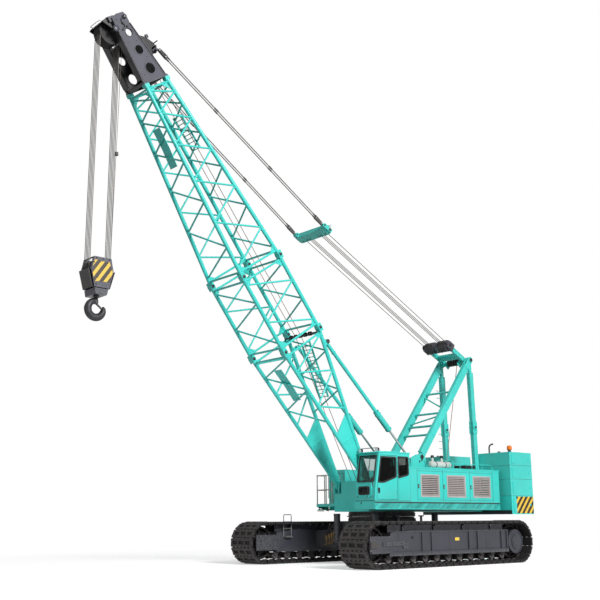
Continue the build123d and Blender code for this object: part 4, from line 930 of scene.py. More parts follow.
# inside: dashboard, floor mat, levers, pedals, side console
cab.prism([(1.72, 2.9), (1.98, 2.9), (2.03, 2.86), (2.06, 2.72), (1.72, 2.72)], 1.05, 1.8, 3)
cab.box(0.62, 2.18, 1.0, 1.83, 2.241, 2.25)
for y in (1.1, 1.72):
    cab.tube([(1.05, y, 2.82), (1.06, y, 2.95), (1.09, y, 3.05)], 0.012, 2, 8)
    cab.lathe((1.09, y, 3.04), (1.1, y, 3.12), LEVER_KNOB, 3, 16)
for y in (1.3, 1.42, 1.54):
    cab.tube([(1.62, y, 2.26), (1.6, y, 2.42), (1.56, y, 2.5)], 0.01, 2, 8)
    cab.box(1.52, 1.58, y - 0.04, y + 0.04, 2.49, 2.505)
cab.box(1.0, 1.35, 1.68, 1.78, 2.241, 2.82, 3)
cab.done(0.003)

small_lamps = Piece("sill_lamps", "upperstructure", teal, plastic)
for y in (1.12, 1.56):
    small_lamps.box(2.245, 2.285, y - 0.05, y + 0.05, 2.3, 2.36)
    small_lamps.lathe((2.285, y, 2.33), (3.285, y, 2.33), [(0, 0.024), (0.004, 0.024)], 1, 20)
small_lamps.done(0.004, ["lamps"])

# dark trim inside: roof lining, back wall and sills; the dark panel behind the right window's rear half is
# painted shade, standing in for the shade inside the cab
lining = Piece("cab_lining", "upperstructure", plastic)
lining.boxes(0, (0.53, 1.95, 0.975, 1.83, 3.765, 3.785), (0.53, 0.545, 0.975, 1.83, 2.25, 3.42),
             (0.53, 2.15, 0.972, 0.985, 2.25, 2.86), (0.53, 1.22, 0.972, 0.985, 2.86, 3.76),
             (0.53, 1.06, 1.815, 1.828, 2.25, 2.96), (2.14, 2.155, 0.98, 1.825, 2.25, 2.38))
lining.done(0.004)

door = Piece("cab_door_fittings", "cab_door", rubber, teal, greased, plastic, zinc)
DOOR_WINDOW = [(1.19, 3.03), (1.79, 2.84), (2.05, 2.84), (1.9, 3.67), (1.19, 3.67)]
DOOR_EDGE = [(1.112, 2.242), (2.147, 2.242), (2.128, 2.56), (1.924, 3.748), (1.112, 3.748)]
window_frame(door, DOOR_WINDOW, CAB_Y - 0.03, CAB_Y + 0.012, 0.045, 0)
for (x0, z0), (x1, z1) in zip(DOOR_EDGE, DOOR_EDGE[1:] + DOOR_EDGE[:1]):
    door.tube([(x0, CAB_Y, z0), (x1, CAB_Y, z1)], 0.006, 0, 6)
door.box(2.0, 2.09, CAB_Y, CAB_Y + 0.008, 2.44, 2.63, 3)
door.box(2.02, 2.05, CAB_Y + 0.008, CAB_Y + 0.034, 2.47, 2.61, 3)
door.rod((2.07, CAB_Y + 0.008, 2.48), (2.07, CAB_Y + 0.014, 2.48), 0.01, 4)
door.box(1.2, 2.05, CAB_Y, CAB_Y + 0.006, 2.33, 2.345, 1)
door.done(0.002)

# crowned seat with a headrest, arm rests and a suspension below
seat_base = Piece("seat_suspension", "upperstructure", plastic, greased)
for i in range(5):
    inset, z = 0.006 * (i % 2), 2.3 + 0.055 * i
    seat_base.box(0.88 + inset, 1.14 - inset, 1.24, 1.58, z, z + 0.048)
seat_base.box(0.86, 1.16, 1.22, 1.6, 2.241, 2.3, 1)
seat_base.box(0.8, 1.28, 1.2, 1.62, 2.6, 2.65)
for y in (1.16, 1.66):
    seat_base.plate([(0.82, 2.93), (1.2, 2.95), (1.21, 2.99), (0.82, 2.98)], y, 0.03)
    seat_base.rod((0.84, y, 2.66), (0.84, y, 2.95), 0.015, 1)
seat_base.done(0.006)

CUSHION_STEPS, CUSHION_POWER = 14, 6.0


def cushion(name, x0, x1, y0, y1, z0, z1, lean=0.0):
    """A soft pad with a crowned face; verts on a fine grid so that it swells in the middle."""
    row = CUSHION_STEPS + 1
    verts, faces = [], []
    centre = Vector(((x0 + x1) / 2, (y0 + y1) / 2, (z0 + z1) / 2))
    half = Vector(((x1 - x0) / 2, (y1 - y0) / 2, (z1 - z0) / 2))
    for axis, sign in ((axis, sign) for axis in range(3) for sign in (-1, 1)):
        first = len(verts)
        for i in range(row):
            for j in range(row):
                p = [0.0, 0.0, 0.0]
                p[axis] = sign
                p[(axis + 1) % 3] = 2 * i / CUSHION_STEPS - 1
                p[(axis + 2) % 3] = 2 * j / CUSHION_STEPS - 1
                size = sum(abs(c) ** CUSHION_POWER for c in p) ** (1 / CUSHION_POWER)
                q = Vector([c * h / size for c, h in zip(p, half)])
                verts.append(tuple(centre + q + Vector((lean * q.z, 0, 0))))
        for i in range(CUSHION_STEPS):
            for j in range(CUSHION_STEPS):
                a = first + i * row + j
                quad = [a, a + row, a + row + 1, a + 1]
                faces.append(quad if sign > 0 else quad[::-1])
    mesh = bpy.data.meshes.new(name)
    mesh.from_pydata(verts, [], faces)
    mesh.polygons.foreach_set("use_smooth", [True] * len(mesh.polygons))
    mesh.materials.append(cloth)
    made = bpy.data.objects.new(name, mesh)
    bpy.context.scene.collection.objects.link(made)
    weld = made.modifiers.new("weld", "WELD")
    weld.merge_threshold = 0.0005
    return made


squab = cushion("seat_cushion", 0.8, 1.3, 1.19, 1.63, 2.645, 2.765)
back = cushion("seat_back", 0.7, 0.83, 1.2, 1.62, 2.72, 3.26, -0.06)
rest = cushion("seat_headrest", 0.71, 0.79, 1.29, 1.53, 3.28, 3.42, -0.06)
for pad in (squab, back, rest):
    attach(pad, "upperstructure")
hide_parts("operator_seat")
# piping sewn round the cushion, in the same cloth
piping = Piece("seat_cushion_piping", "upperstructure", cloth)
PIPING_CORNERS = ((1.205, 1.535, 0), (0.895, 1.535, 90), (0.895, 1.285, 180), (1.205, 1.285, 270))
piping_line = [p for x, y, start in PIPING_CORNERS for p in arc((x, y), 0.08, start, start + 90, 4)]
piping.tube([(x, y, 2.72) for x, y in piping_line], 0.006, 0, 6, True)
piping.done(0)


# ---- counterweight, roof fittings, winches -----------------------------------------------
CW_LEVELS = (1.73, 2.43, 3.07, 3.6, 4.11)
CW_SIDE, CW_BACK, CW_FACE, GAP_SIDE = 2.3, -6.22, -4.82, 0.78
stack = Piece("counterweight_fittings", "upperstructure", teal, greased, hazard_side, zinc, orange, plastic)
for side in BOTH:
    for low, high in zip(CW_LEVELS, CW_LEVELS[1:]):
        # a dark line between the slabs, lifting eyes and location blocks at their ends
        if high < CW_LEVELS[-1]:
            stack.box(CW_BACK - 0.002, CW_FACE + 0.002, side * GAP_SIDE, side * (CW_SIDE + 0.002),
                      high - 0.006, high + 0.004, 1)
        for x in (-5.02, -6.02):
            eye = [(0, 0.04), (0.012, 0.04), (0.014, 0.024), (0.03, 0.02)]
            stack.cap(x, side * CW_SIDE, (low + high) / 2, side, eye, 0, 20)
        stack.box(CW_FACE - 0.3, CW_FACE - 0.12, side * CW_SIDE, side * (CW_SIDE + 0.02),
                  low + 0.08, high - 0.1)
    # striped plate on the lowest slab's sides and round the back corners
    stack.box(-6.2, -5.12, side * CW_SIDE, side * (CW_SIDE + 0.008), 1.76, 2.4, 2)
    for x in (-6.15, -5.17):
        for z in (1.8, 2.36):
            stack.bolt((x, side * (CW_SIDE + 0.008), z), (0, side, 0), 0.012, 3)
    stack.box(CW_BACK - 0.008, CW_BACK, side * 1.5, side * 2.28, 1.76, 2.4, 2)
    # lamps at the back, eyes on the top slab
    y = side * 1.2
    stack.lathe((CW_BACK, y, 2.1), (CW_BACK - 1, y, 2.1), [(0, 0.07), (0.03, 0.07), (0.04, 0.06)], 4, 24)
    y = side * 1.6
    for x in (-5.1, -5.95):
        eye = both_ways([(-0.07, 4.1), (-0.06, 4.14)], [(0, 4.165)])
        stack.tube([(x, y + across, z) for across, z in eye], 0.02, 1)
        stack.box(x - 0.07, x + 0.07, y - 0.1, y + 0.1, 4.108, 4.118)
    stack.prism([(-5.8, 4.11), (-5.3, 4.11), (-5.34, 4.13), (-5.76, 4.13)], side * 1.9, side * 2.15)
# ladder rungs at the back
for i in range(6):
    z = 1.95 + 0.36 * i
    rung = ((CW_BACK, -1.7), (CW_BACK - 0.09, -1.7), (CW_BACK - 0.09, -1.3), (CW_BACK, -1.3))
    stack.tube([(x, y, z) for x, y in rung], 0.014, 3, 8)
stack.done(0.004)

LAMP_FOOT = [(0, 0.085), (0.02, 0.085), (0.03, 0.06), (0.07, 0.055), (0.09, 0.09), (0.1, 0.09)]
LAMP_DOME = [(0, 0.085), (0.015, 0.1), (0.03, 0.1), (0.045, 0.097), (0.06, 0.1), (0.075, 0.097), (0.09, 0.1),
             (0.105, 0.096), (0.12, 0.098), (0.15, 0.08), (0.168, 0.045), (0.172, 0.01)]
lamp = Piece("beacon_lamp", "upperstructure", orange, plastic, greased)
lamp.post(-5.05, 2.15, 4.11, LAMP_FOOT, 1, 32)
lamp.post(-5.05, 2.15, 4.205, LAMP_DOME, 0, 36)
lamp.done(0, ["beacon"], 1, 50)

# exhaust: a pale silencer with two capped stubs on the bay's left, a thin bent pipe on the counterweight
SILENCER = [(0, 0.05), (0.02, 0.1), (0.05, 0.125), (1.1, 0.125), (1.13, 0.1), (1.15, 0.05)]
exhaust = Piece("exhaust", "upperstructure", rail, rubber, greased, teal)
exhaust.lathe((-1.4, 1.2, 3.56), (-2.4, 1.2, 3.56), SILENCER, 0, 32)
for x in (-1.56, -2.08):
    exhaust.ring((x - 0.1, 1.2, 3.56), (x - 0.14, 1.2, 3.56), 0.133, 0.12, 2, 32)
    exhaust.box(x - 0.14, x - 0.1, 1.14, 1.26, 3.39, 3.45, 2)
    exhaust.post(x, 1.2, 3.66, [(0, 0.05), (0.12, 0.05), (0.13, 0.035), (0.18, 0.035)], 0, 20)
    exhaust.post(x, 1.2, 3.82, [(0, 0.05), (0.02, 0.062), (0.07, 0.062), (0.09, 0.045)], 1, 20)
exhaust.tube([(-2.5, 1.2, 3.56), (-2.62, 1.2, 3.54), (-2.68, 1.2, 3.46), (-2.68, 1.2, 3.3)], 0.05, 1, 14)
pipe = ((1.26, 4.1), (1.26, 4.34), (1.3, 4.42), (1.38, 4.46), (1.46, 4.46))
exhaust.tube([(-4.92, y, z) for y, z in pipe], 0.03, 2, 12)
# dark intake box and two teal hoops between the houses
exhaust.box(-4.45, -3.85, 0.3, 0.88, 3.5, 3.62, 1)
exhaust.box(-4.4, -3.9, 0.34, 0.84, 3.3, 3.5, 2)
hoop = ((0.86, 3.3), (0.86, 3.7), (0.8, 3.76), (0.4, 3.76), (0.34, 3.7), (0.34, 3.3))
for x in (-2.75, -3.15):
    exhaust.tube([(x, y, z) for y, z in hoop], 0.025, 3)
exhaust.done(0.002)

# winches: flanged drums with wound rope, bearings and side plates
ROPE_TURNS, DRUM_LENGTH, DRUM_END = 36, 1.04, 0.531
WIND = DRUM_LENGTH / ROPE_TURNS
winch = Piece("winch_drums", "upperstructure", rope, greased, teal, zinc)
for x, z, radius in ((-2.35, 3.05, 0.33), (-3.4, 3.05, 0.33), (-0.3, 2.8, 0.26)):
    profile = []
    for i in range(ROPE_TURNS):
        at = DRUM_END - 0.52 + WIND * i
        profile += [(at - 0.001, radius - 0.014), (at + WIND / 2, radius)]
    winch.cap(x, -DRUM_END, z, 1, profile, 0, 48)
    flange = [(-0.005, radius + 0.05), (-0.005, radius + 0.13), (0.0, radius + 0.135),
              (0.018, radius + 0.135), (0.02, radius + 0.1), (0.02, 0.1)]
    plate = both_ways([(-0.17, 2.18), (-0.15, z + 0.06), (-0.09, z + 0.15)])
    for side in BOTH:
        winch.cap(x, side * 0.53, z, side, flange, 1, 56)
        for bolt_x, bolt_z in moved(around(10, radius - 0.04), x, z):
            winch.cap(bolt_x, side * 0.546, bolt_z, side, [(0, 0.016), (0.006, 0.016)], 3, 6)
        winch.prism(moved(plate, x, 0), side * 0.556, side * 0.575, 2)
        winch.cap(x, side * 0.556, z, side, [(-0.01, 0.1), (0.0, 0.1), (0.02, 0.1), (0.021, 0.02)], 1, 32)
winch.done(0.002, ["winches"])


# ---- boom: joint pins, cross beams, pads, inner ropes ------------------------------------
# places where the chords change, each (s, y, lower n, upper n)
CHORD_FOOT, CHORD_BASE = (0.08, 0.79, -0.175, -0.055), (5.9, 0.88, -1.02, 0.9)
CHORD_INSERT, CHORD_TIP = (8.87, 0.885, -1.2, 0.7), (15.9, 0.5, -0.95, -0.04)
JOINT_PIN = [(0, 0.03), (0.01, 0.055), (0.03, 0.06), (0.24, 0.06), (0.26, 0.055), (0.27, 0.03)]
# where the lacing meets the chords
STATIONS = (
    (CHORD_FOOT, CHORD_BASE, (2.9, 3.6, 4.32, 5.05, 5.68)),
    (CHORD_BASE, CHORD_INSERT, (6.25, 7.1, 7.85, 8.56)),
    (CHORD_INSERT, CHORD_TIP, (9.18, 9.99, 10.9, 11.66, 12.43, 13.12, 13.75, 14.33, 14.88, 15.34, 15.66)),
)
pins = Piece("boom_joint_fittings", "boom", teal, greased, zinc, dark)
pins.place = BOOM


def joint(s, y, n, side):
    """Fork and tongue cheeks with a pin through them."""
    middle = side * y
    for step in BOTH:
        for low, high in ((-0.098, -0.088), (0.088, 0.098)):
            pins.box(s + step * 0.01, s + step * 0.15, middle + low, middle + high, n - 0.092, n + 0.092)
        pins.washer(s, n, side * (y + step * 0.098), side * (y + step * 0.112), 0.094, 0.062)
    pins.lathe((s, middle - 0.135, n), (s, middle + 1, n), JOINT_PIN, 1, 24)
    pins.bolt((s + 0.03, side * (y + 0.135), n), (0, side, 0), 0.011, 2)


for s, y, low, high in (CHORD_BASE, CHORD_INSERT, CHORD_TIP):
    at_tip = s == CHORD_TIP[0]
    for side in BOTH:
        for n, up in ((low, 1), (high, -1)):
            if not at_tip:
                joint(s, y, n, side)
            # gussets at the chord ends
            for step in (-1,) if at_tip else BOTH:
                gusset = [(step * 0.13, up * 0.07), (step * 0.44, up * 0.05), (step * 0.21, up * 0.3),
                          (step * 0.13, up * 0.3)]
                pins.plate(moved(gusset, s, n), side * y, 0.008)
# bands round the chords
for start, end, stations in STATIONS:
    rates = [(b - a) / (end[0] - start[0]) for a, b in zip(start, end)]
    for s in stations:
        y, low, high = (a + rate * (s - start[0]) for a, rate in zip(start[1:], rates[1:]))
        for side in BOTH:
            for n, slope in ((low, rates[2]), (high, rates[3])):
                along = Vector((1, side * rates[1], slope)).normalized() * 0.006
                at = Vector((s, side * y, n))
                pins.ring(at - along, at + along, 0.0745, 0.066, 0, 20)
# foot of the boom: bosses, stop pads, edges and stiffeners of the web plates
for side in BOTH:
    for y0, y1 in ((0.725, 0.738), (0.842, 0.855)):
        pins.washer(0.0785, -0.1159, side * y0, side * y1, 0.155, 0.082, 0, 36)
    pins.washer(5.28, 1.03, side * 0.87, side * 0.884, 0.08, 0.0, 1, 24)
    for a, b in (((2.3, -0.47), (2.7, 0.32)), ((0.6, 0.1), (2.7, 0.32)), ((0.6, -0.24), (2.3, -0.47))):
        pins.tube([(s, side * 0.79, n) for s, n in (a, b)], 0.012, 0, 8)
    for s in (1.2, 1.9):
        low = -0.12 - 0.29 * (s - 0.08) / 2.22
        high = 0.07 + 0.22 * (s - 0.6) / 2.1
        for y0, y1 in ((0.82, 0.85), (0.73, 0.76)):
            pins.box(s - 0.012, s + 0.012, side * y0, side * y1, low, high)
pins.done(0.003)

# ropes along the boom: from the front drum over a fairlead at the foot, then over guides to the head
FOOT_SHAFT = Vector((1.43, 0, 2.8))
fair = Piece("boom_fairlead", "upperstructure", greased, teal, inner_rope)
lines = Piece("boom_inner_ropes", "boom", inner_rope)
for y in LINE_YS:
    aside = Vector((0, y, 0))
    grooved(fair, FOOT_SHAFT.x, y, FOOT_SHAFT.z, 0.085, 0.11, 0.03, 0, 28)
    fair.rod((-0.3, y, 3.055), (1.41, y, 2.893), 0.011, 2, 8)
    start, top = FOOT_SHAFT + ABOVE_BOOM * 0.096 + aside, DEFLECTOR - ABOVE_BOOM * 0.166 + aside
    lines.tube([start, boom_point(5.8, 0.62, y), top], 0.011, 0, 8)
for y in (-0.53, 0.53):
    fair.plate([(1.3, 2.5), (1.56, 2.5), (1.56, 2.92), (1.36, 2.92)], y, 0.015, 1)
fair.rod((1.43, -0.58, 2.8), (1.43, 0.58, 2.8), 0.03)
fair.box(1.54, 1.56, -0.545, 0.545, 2.5, 2.92, 1)
fair.done(0.0015)
lines.done(0)

guides = Piece("guide_sheaves_turned", "boom", greased, forged)
GUIDE_SHAFT = boom_point(5.8, 0.73)
for y in (-0.52, -0.26, 0.0, 0.26, 0.52):
    grooved(guides, GUIDE_SHAFT.x, y, GUIDE_SHAFT.z, 0.06, 0.08, 0.055, 0, 28)
guides.rod(boom_point(5.8, 0.73, -0.88), boom_point(5.8, 0.73, 0.88), 0.03, 1)
guides.done(0.0015, ["guide_sheaves"])

# thin line with a small weight that hangs from the head beside the hoist ropes
plumb = Piece("limit_weight", "hoist_line", greased, rope)
PLUMB_X, PLUMB_Y = SHAFT_X - 0.4, 0.252
plumb.rod((PLUMB_X, PLUMB_Y, HEAD_SHAFT.z - 0.3), (PLUMB_X + 0.1, PLUMB_Y, BLOCK_Z + 0.38), 0.008, 1, 6)
plumb.lathe((PLUMB_X + 0.04, PLUMB_Y, 12.95), (PLUMB_X + 0.04, PLUMB_Y, 11.95),
            [(0, 0.02), (0.02, 0.06), (0.12, 0.065), (0.14, 0.03)], 0, 20)
plumb.box(PLUMB_X + 0.05, SHAFT_X - 0.3, PLUMB_Y - 0.02, PLUMB_Y + 0.02, BLOCK_Z + 0.36, BLOCK_Z + 0.4)
plumb.done(0)


# ---- gantry, boom hoist blocks, ropes, pendants, backstops -------------------------------
GANTRY_TOP, GANTRY_FOOT = Vector((-4.53, 0, 7.9)), Vector((-1.37, 0, 3.86))
LEG_AXIS = GANTRY_TOP - GANTRY_FOOT
LEG_LENGTH = LEG_AXIS.length
LEG_Y, HINGE = 0.75, Vector((-4.611, 0, 5.16))
legs = Piece("gantry_fittings", "upperstructure", teal, greased, zinc, rust_line, dark)


def rear_leg_x(z):
    """The rear legs lean a little."""
    return -4.69 + 0.16 * (z - 2.5) / 5.4


def front_leg(side):
    """Bands, lugs, the top pin's rings and small pins at the foot, in the leg's own frame."""
    y = side * LEG_Y
    for s in (0.16, 1.1, 2.6, 4.05, 4.79):
        legs.box(s - 0.012, s + 0.012, y - 0.081, y + 0.081, -0.151, 0.151)
    for share, r in ((0.22, 0.042), (0.31, 0.045), (0.44, 0.042), (0.66, 0.042)):
        legs.washer(share * LEG_LENGTH, 0, side * 0.675, side * 0.66, r + 0.03, r, 0, 24)
    for y0, y1 in ((0.643, 0.66), (0.84, 0.857)):
        legs.washer(LEG_LENGTH, 0, side * y0, side * y1, 0.115, 0.058, 0, 36)
    top_pin = [(-0.01, 0.075), (0.02, 0.075), (0.03, 0.06), (0.035, 0.03)]
    legs.cap(LEG_LENGTH, side * 0.857, 0, side, top_pin, 1)
    for s, n in moved(around(6, 0.092), LEG_LENGTH, 0):
        legs.bolt((s, side * 0.857, n), (0, side, 0), 0.009, 2)
    for s, n in ((0.02, 0.0), (-0.1, 0.06), (-0.22, 0.0)):
        legs.cap(s, side * 0.85, n, side, [(0, 0.035), (0.02, 0.035), (0.025, 0.02)], 1, 16)


def rear_leg(side):
    """Fork and pin half way, a catch, the foot's pin and bands."""
    y, x, z = side * LEG_Y, HINGE.x, HINGE.z
    for step in BOTH:
        legs.box(x - 0.13, x + 0.13, y + step * 0.08, y + step * 0.1, 4.9, 5.4)
        legs.washer(x, z, y + step * 0.1, y + step * 0.13, 0.1, 0.046, 0, 24)
    legs.rod((x, y - 0.15, z), (x, y + 0.15, z), 0.045, 1, 20)
    legs.box(x - 0.2, x - 0.1, y - 0.05, y + 0.05, 4.95, 5.1)
    legs.rod((-4.69, y - 0.09, 2.58), (-4.69, y + 0.09, 2.58), 0.04, 1, 20)
    for z in (3.2, 4.4, 6.1, 7.2):
        x = rear_leg_x(z)
        legs.box(x - 0.116, x + 0.116, y - 0.086, y + 0.086, z - 0.012, z + 0.012)


legs.place = Matrix.Translation(GANTRY_FOOT) @ Matrix.Rotation(-atan2(LEG_AXIS.z, LEG_AXIS.x), 4, "Y")
for side in BOTH:
    front_leg(side)
for y in (-0.24, -0.12, 0.0, 0.12, 0.24):
    grooved(legs, LEG_LENGTH, y, 0, 0.12, 0.15, 0.045, 1, 32)
for y in (-0.32, 0.32):
    top_plate = [(-0.24, -0.12), (0.08, -0.14), (0.15, 0.0), (0.08, 0.14), (-0.24, 0.12)]
    legs.plate(moved(top_plate, LEG_LENGTH, 0), y, 0.012)
legs.place = Matrix.Identity(4)
for side in BOTH:
    rear_leg(side)
# ladder rungs on the right rear leg, and the rope from the boom hoist drum up to the sheaves
for i in range(14):
    z = 2.9 + 0.3 * i
    x = rear_leg_x(z)
    rung = ((0.04, -0.84), (0.04, -0.93), (0.2, -0.93), (0.2, -0.84))
    legs.tube([(x + out, y, z) for out, y in rung], 0.01, 0, 6)
legs.rod((-3.08, 0.48, 3.13), (-4.4, 0.24, 7.83), 0.013, 3, 8)
legs.done(0.003)

FALLS, FALL_YS = atan2(4.058, 7.793), (0.24, 0.32, 0.4, 0.6)
SPREADER, ALONG_FALLS = Vector((3.263, 0, 11.958)), Vector((cos(FALLS), 0, sin(FALLS)))
FALLS_TURN = Matrix.Rotation(-FALLS, 4, "Y")
BRIDLE_PLATE = [(0.92, -0.15), (1.24, -0.15), (1.36, -0.06), (1.36, 0.06), (1.24, 0.15), (0.92, 0.15)]
bridle = Piece("hoist_block_fittings", "boom_hoist_block", teal, greased, dark, zinc)
bridle.place = Matrix.Translation(GANTRY_TOP) @ FALLS_TURN
for side in BOTH:
    for y0, y1 in ((0.48, 0.5), (0.58, 0.6)):
        bridle.washer(0, 0, side * y0, side * y1, 0.1, 0.06)
    for z in (-0.085, 0.085):
        bridle.box(0.12, 0.94, side * 0.49, side * 0.59, z - 0.007, z + 0.007)
    for s in (0.45, 0.7):
        bridle.bolt((s, side * 0.58, 0), (0, side, 0), 0.014, 3)
    for y in (0.12, 0.54, 0.655):
        bridle.plate(BRIDLE_PLATE, side * y, 0.012, 2)
    for y in (0.17, 0.25, 0.33, 0.41, 0.49):
        grooved(bridle, 1.15, side * y, 0, 0.21, 0.232, 0.04, 1, 36)
    bridle.cap(1.15, side * 0.667, 0, side, [(-0.02, 0.06), (0.015, 0.06), (0.02, 0.035)], 1, 24)
    for s, z in ((0.97, 0.12), (0.97, -0.12), (1.22, 0.1), (1.22, -0.1)):
        bridle.bolt((s, side * 0.667, z), (0, side, 0), 0.014, 3)
bridle.box(0.94, 1.1, -0.62, 0.62, 0.141, 0.149, 2)
bridle.done(0.003)

spread = Piece("spreader_fittings", "pendant_line", teal, greased, dark, zinc, rail)
spread.place = Matrix.Translation(SPREADER) @ FALLS_TURN
for y0, y1 in ((-0.77, -0.45), (-0.43, -0.21), (-0.19, 0.19), (0.21, 0.43), (0.45, 0.77)):
    spread.box(-0.171, 0.171, y0, y1, 0.1, 0.106)
    spread.box(-0.171, 0.171, y0, y1, -0.106, -0.1)
for side in BOTH:
    # rope sheaves look out of slots in the lower edge
    for y in FALL_YS:
        grooved(spread, -0.1, side * y, 0, 0.085, 0.115, 0.03, 1, 24)
    y = side * 0.77
    for step in BOTH:
        spread.washer(0.23, 0, y + step * 0.06, y + step * 0.078, 0.078, 0.036, 0, 24)
    spread.rod((0.23, y - 0.1, 0), (0.23, y + 0.1, 0), 0.036, 1, 20)
    spread.washer(-0.05, 0, side * 0.86, side * 0.867, 0.06, 0.0, 2, 24)
    spread.plate([(-0.16, 0.075), (0.05, 0.075), (-0.05, 0.26)], side * 0.78, 0.008, 4)
    spread.rod((0.1, side * 0.6, 0.1), (-0.05, side * 0.78, 0.25), 0.012, 0, 8)
    spread.rod((-0.05, side * 0.25, 0.1), (-0.05, side * 0.25, 0.25), 0.012, 0, 8)
# top bar of the rod frame above
spread.rod((-0.05, -0.78, 0.25), (-0.05, 0.78, 0.25), 0.012, 0, 8)
spread.done(0.004)

# pendants: pairs of bars with forged eyes at both ends
PENDANT_HEAD = boom_point(16.79, 0.06)
PENDANT_LIFT = Vector((-0.46, 0, 0.89))
EYE_SLEEVE = [(-0.12, 0.017), (-0.1, 0.024), (0.0, 0.03), (0.1, 0.03), (0.12, 0.024)]
BAR_JOINT = [(0, 0.018), (0.02, 0.028), (0.18, 0.028), (0.2, 0.018)]
EYE_FACES = [[0, 1, 3, 2], [4, 6, 7, 5], [0, 2, 6, 4], [1, 5, 7, 3], [0, 4, 5, 1], [2, 3, 7, 6]]
strands = Piece("pendant_bars", "pendant_line", bar_steel, greased, zinc)


def pendant_eye(at, way):
    """Two cheek plates from the pin towards the bars, and a pin through each end."""
    tip, root = at + way * 0.02, at + way * 0.4
    for w in (-0.028, 0.028):
        strands.add([p + PENDANT_LIFT * h * step + Vector((0, w + out, 0)) for out in (-0.007, 0.007)
                     for p, h in ((tip, 0.055), (root, 0.075)) for step in (1, -1)], EYE_FACES, 1)
    for p in (tip + way * 0.03, root - way * 0.05):
        strands.rod(p - Vector((0, 0.045, 0)), p + Vector((0, 0.045, 0)), 0.03, 2, 16)


for side in BOTH:
    start = SPREADER + ALONG_FALLS * 0.306 + Vector((0, side * 0.77, 0))
    end = Vector((PENDANT_HEAD.x, side * 0.67, PENDANT_HEAD.z))
    way = (end - start).normalized()
    for step in BOTH:
        a, b = (p + PENDANT_LIFT * 0.045 * step for p in (start, end))
        strands.rod(a + way * 0.3, b - way * 0.3, 0.02, 0, 10)
        for at, out in ((a + way * 0.42, -1), (b - way * 0.42, 1)):
            strands.lathe(at, at + way * out, EYE_SLEEVE, 1, 14)
        for share in (0.34, 0.67):
            at = a + (b - a) * share
            strands.lathe(at - way * 0.1, at, BAR_JOINT, 1, 14)
    pendant_eye(start, way)
    pendant_eye(end, -way)
strands.done(0.002, ["pendants"], 1)

# boom hoist ropes: straight rods from the gantry's sheaves to the spreader, baked in place on no body
luff_ropes = Piece("boom_hoist_falls", None, rope)
LUFF_START = GANTRY_TOP + ALONG_FALLS * (1.15 + 0.216)
LUFF_END = SPREADER - ALONG_FALLS * 0.172
for y in FALL_YS:
    for side in BOTH:
        aside = Vector((0, side * y, 0))
        luff_ropes.rod(LUFF_START + aside, LUFF_END + aside, 0.012, 0, 10)
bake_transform(luff_ropes.done(0, ["boom_hoist_ropes"]))

hoist = Piece("hoist_falls", "hoist_line", fall_rope)
for y in SHEAVE_YS:
    for x in (SHAFT_X + 0.35, SHAFT_X - 0.35):
        hoist.rod((x, y, BLOCK_Z), (x, y, HEAD_SHAFT.z), 0.0125, 0, 10)
hoist.done(0, ["hoist_ropes"])

# backstops: bands and a dark line beside the tube; rods keep their own form
stops = Piece("backstop_fittings", "backstop_tube_pair", teal, greased, zinc)
BACK_TOP = boom_point(5.28, 1.03)
BACK_DOWN = (Vector((-0.87, 0, 3.69)) - BACK_TOP).normalized()
BACK_ACROSS = Vector((-BACK_DOWN.z, 0, BACK_DOWN.x))
for side in BOTH:
    top = BACK_TOP + Vector((0, side * 0.75, 0))
    for at, r in ((0.5, 0.07), (3.38, 0.1), (3.5, 0.11), (4.24, 0.11)):
        p = top + BACK_DOWN * at
        stops.ring(p, p + BACK_DOWN * 0.04, r + 0.014, r - 0.006)
    stops.ring(top + BACK_DOWN * 4.3, top + BACK_DOWN * 4.32, 0.1, 0.047, 1)
    beside = top + BACK_ACROSS * 0.13
    stops.rod(beside + BACK_DOWN * 3.45, beside + BACK_DOWN * 4.25, 0.012, 1, 8)
    for at in (3.5, 4.2):
        p = top + BACK_DOWN * at
        stops.rod(p + BACK_ACROSS * 0.1, p + BACK_ACROSS * 0.13, 0.014, 1, 8)
stops.done(0.002)

# platform: tread bars, kick plates, joints of the rails, steps
stand = Piece("platform_fittings", "upperstructure", rail, greased, zinc, teal)
for i in range(16):
    y = 0.062 * i - 1.97
    stand.box(0.96, 1.44, y, y + 0.006, 2.1, 2.112, 3)
for i in range(9):
    x = 0.98 + 0.056 * i
    stand.box(x, x + 0.005, -1.99, -1.01, 2.1, 2.108, 3)
stand.box(1.444, 1.456, -2.0, -1.0, 2.03, 2.14, 3)
stand.box(0.95, 1.45, -2.006, -1.996, 2.03, 2.14, 3)
RAIL_JOINT = [(0, 0.024), (0.01, 0.028), (0.05, 0.028), (0.06, 0.024)]
for x, y in ((1.43, -1.98), (1.43, -1.56), (1.43, -1.15), (0.97, -1.98)):
    stand.box(x - 0.04, x + 0.04, y - 0.03, y + 0.03, 2.1, 2.115)
    for z in (2.65, 3.19):
        stand.post(x, y, z - 0.03, RAIL_JOINT, 0, 16)
stand.box(1.08, 1.42, -2.01, -1.99, 1.87, 1.9, 1)
for i in range(6):
    x = 1.1 + 0.055 * i
    stand.box(x, x + 0.006, -1.99, -1.61, 1.935, 1.945, 1)
stand.done(0.002)


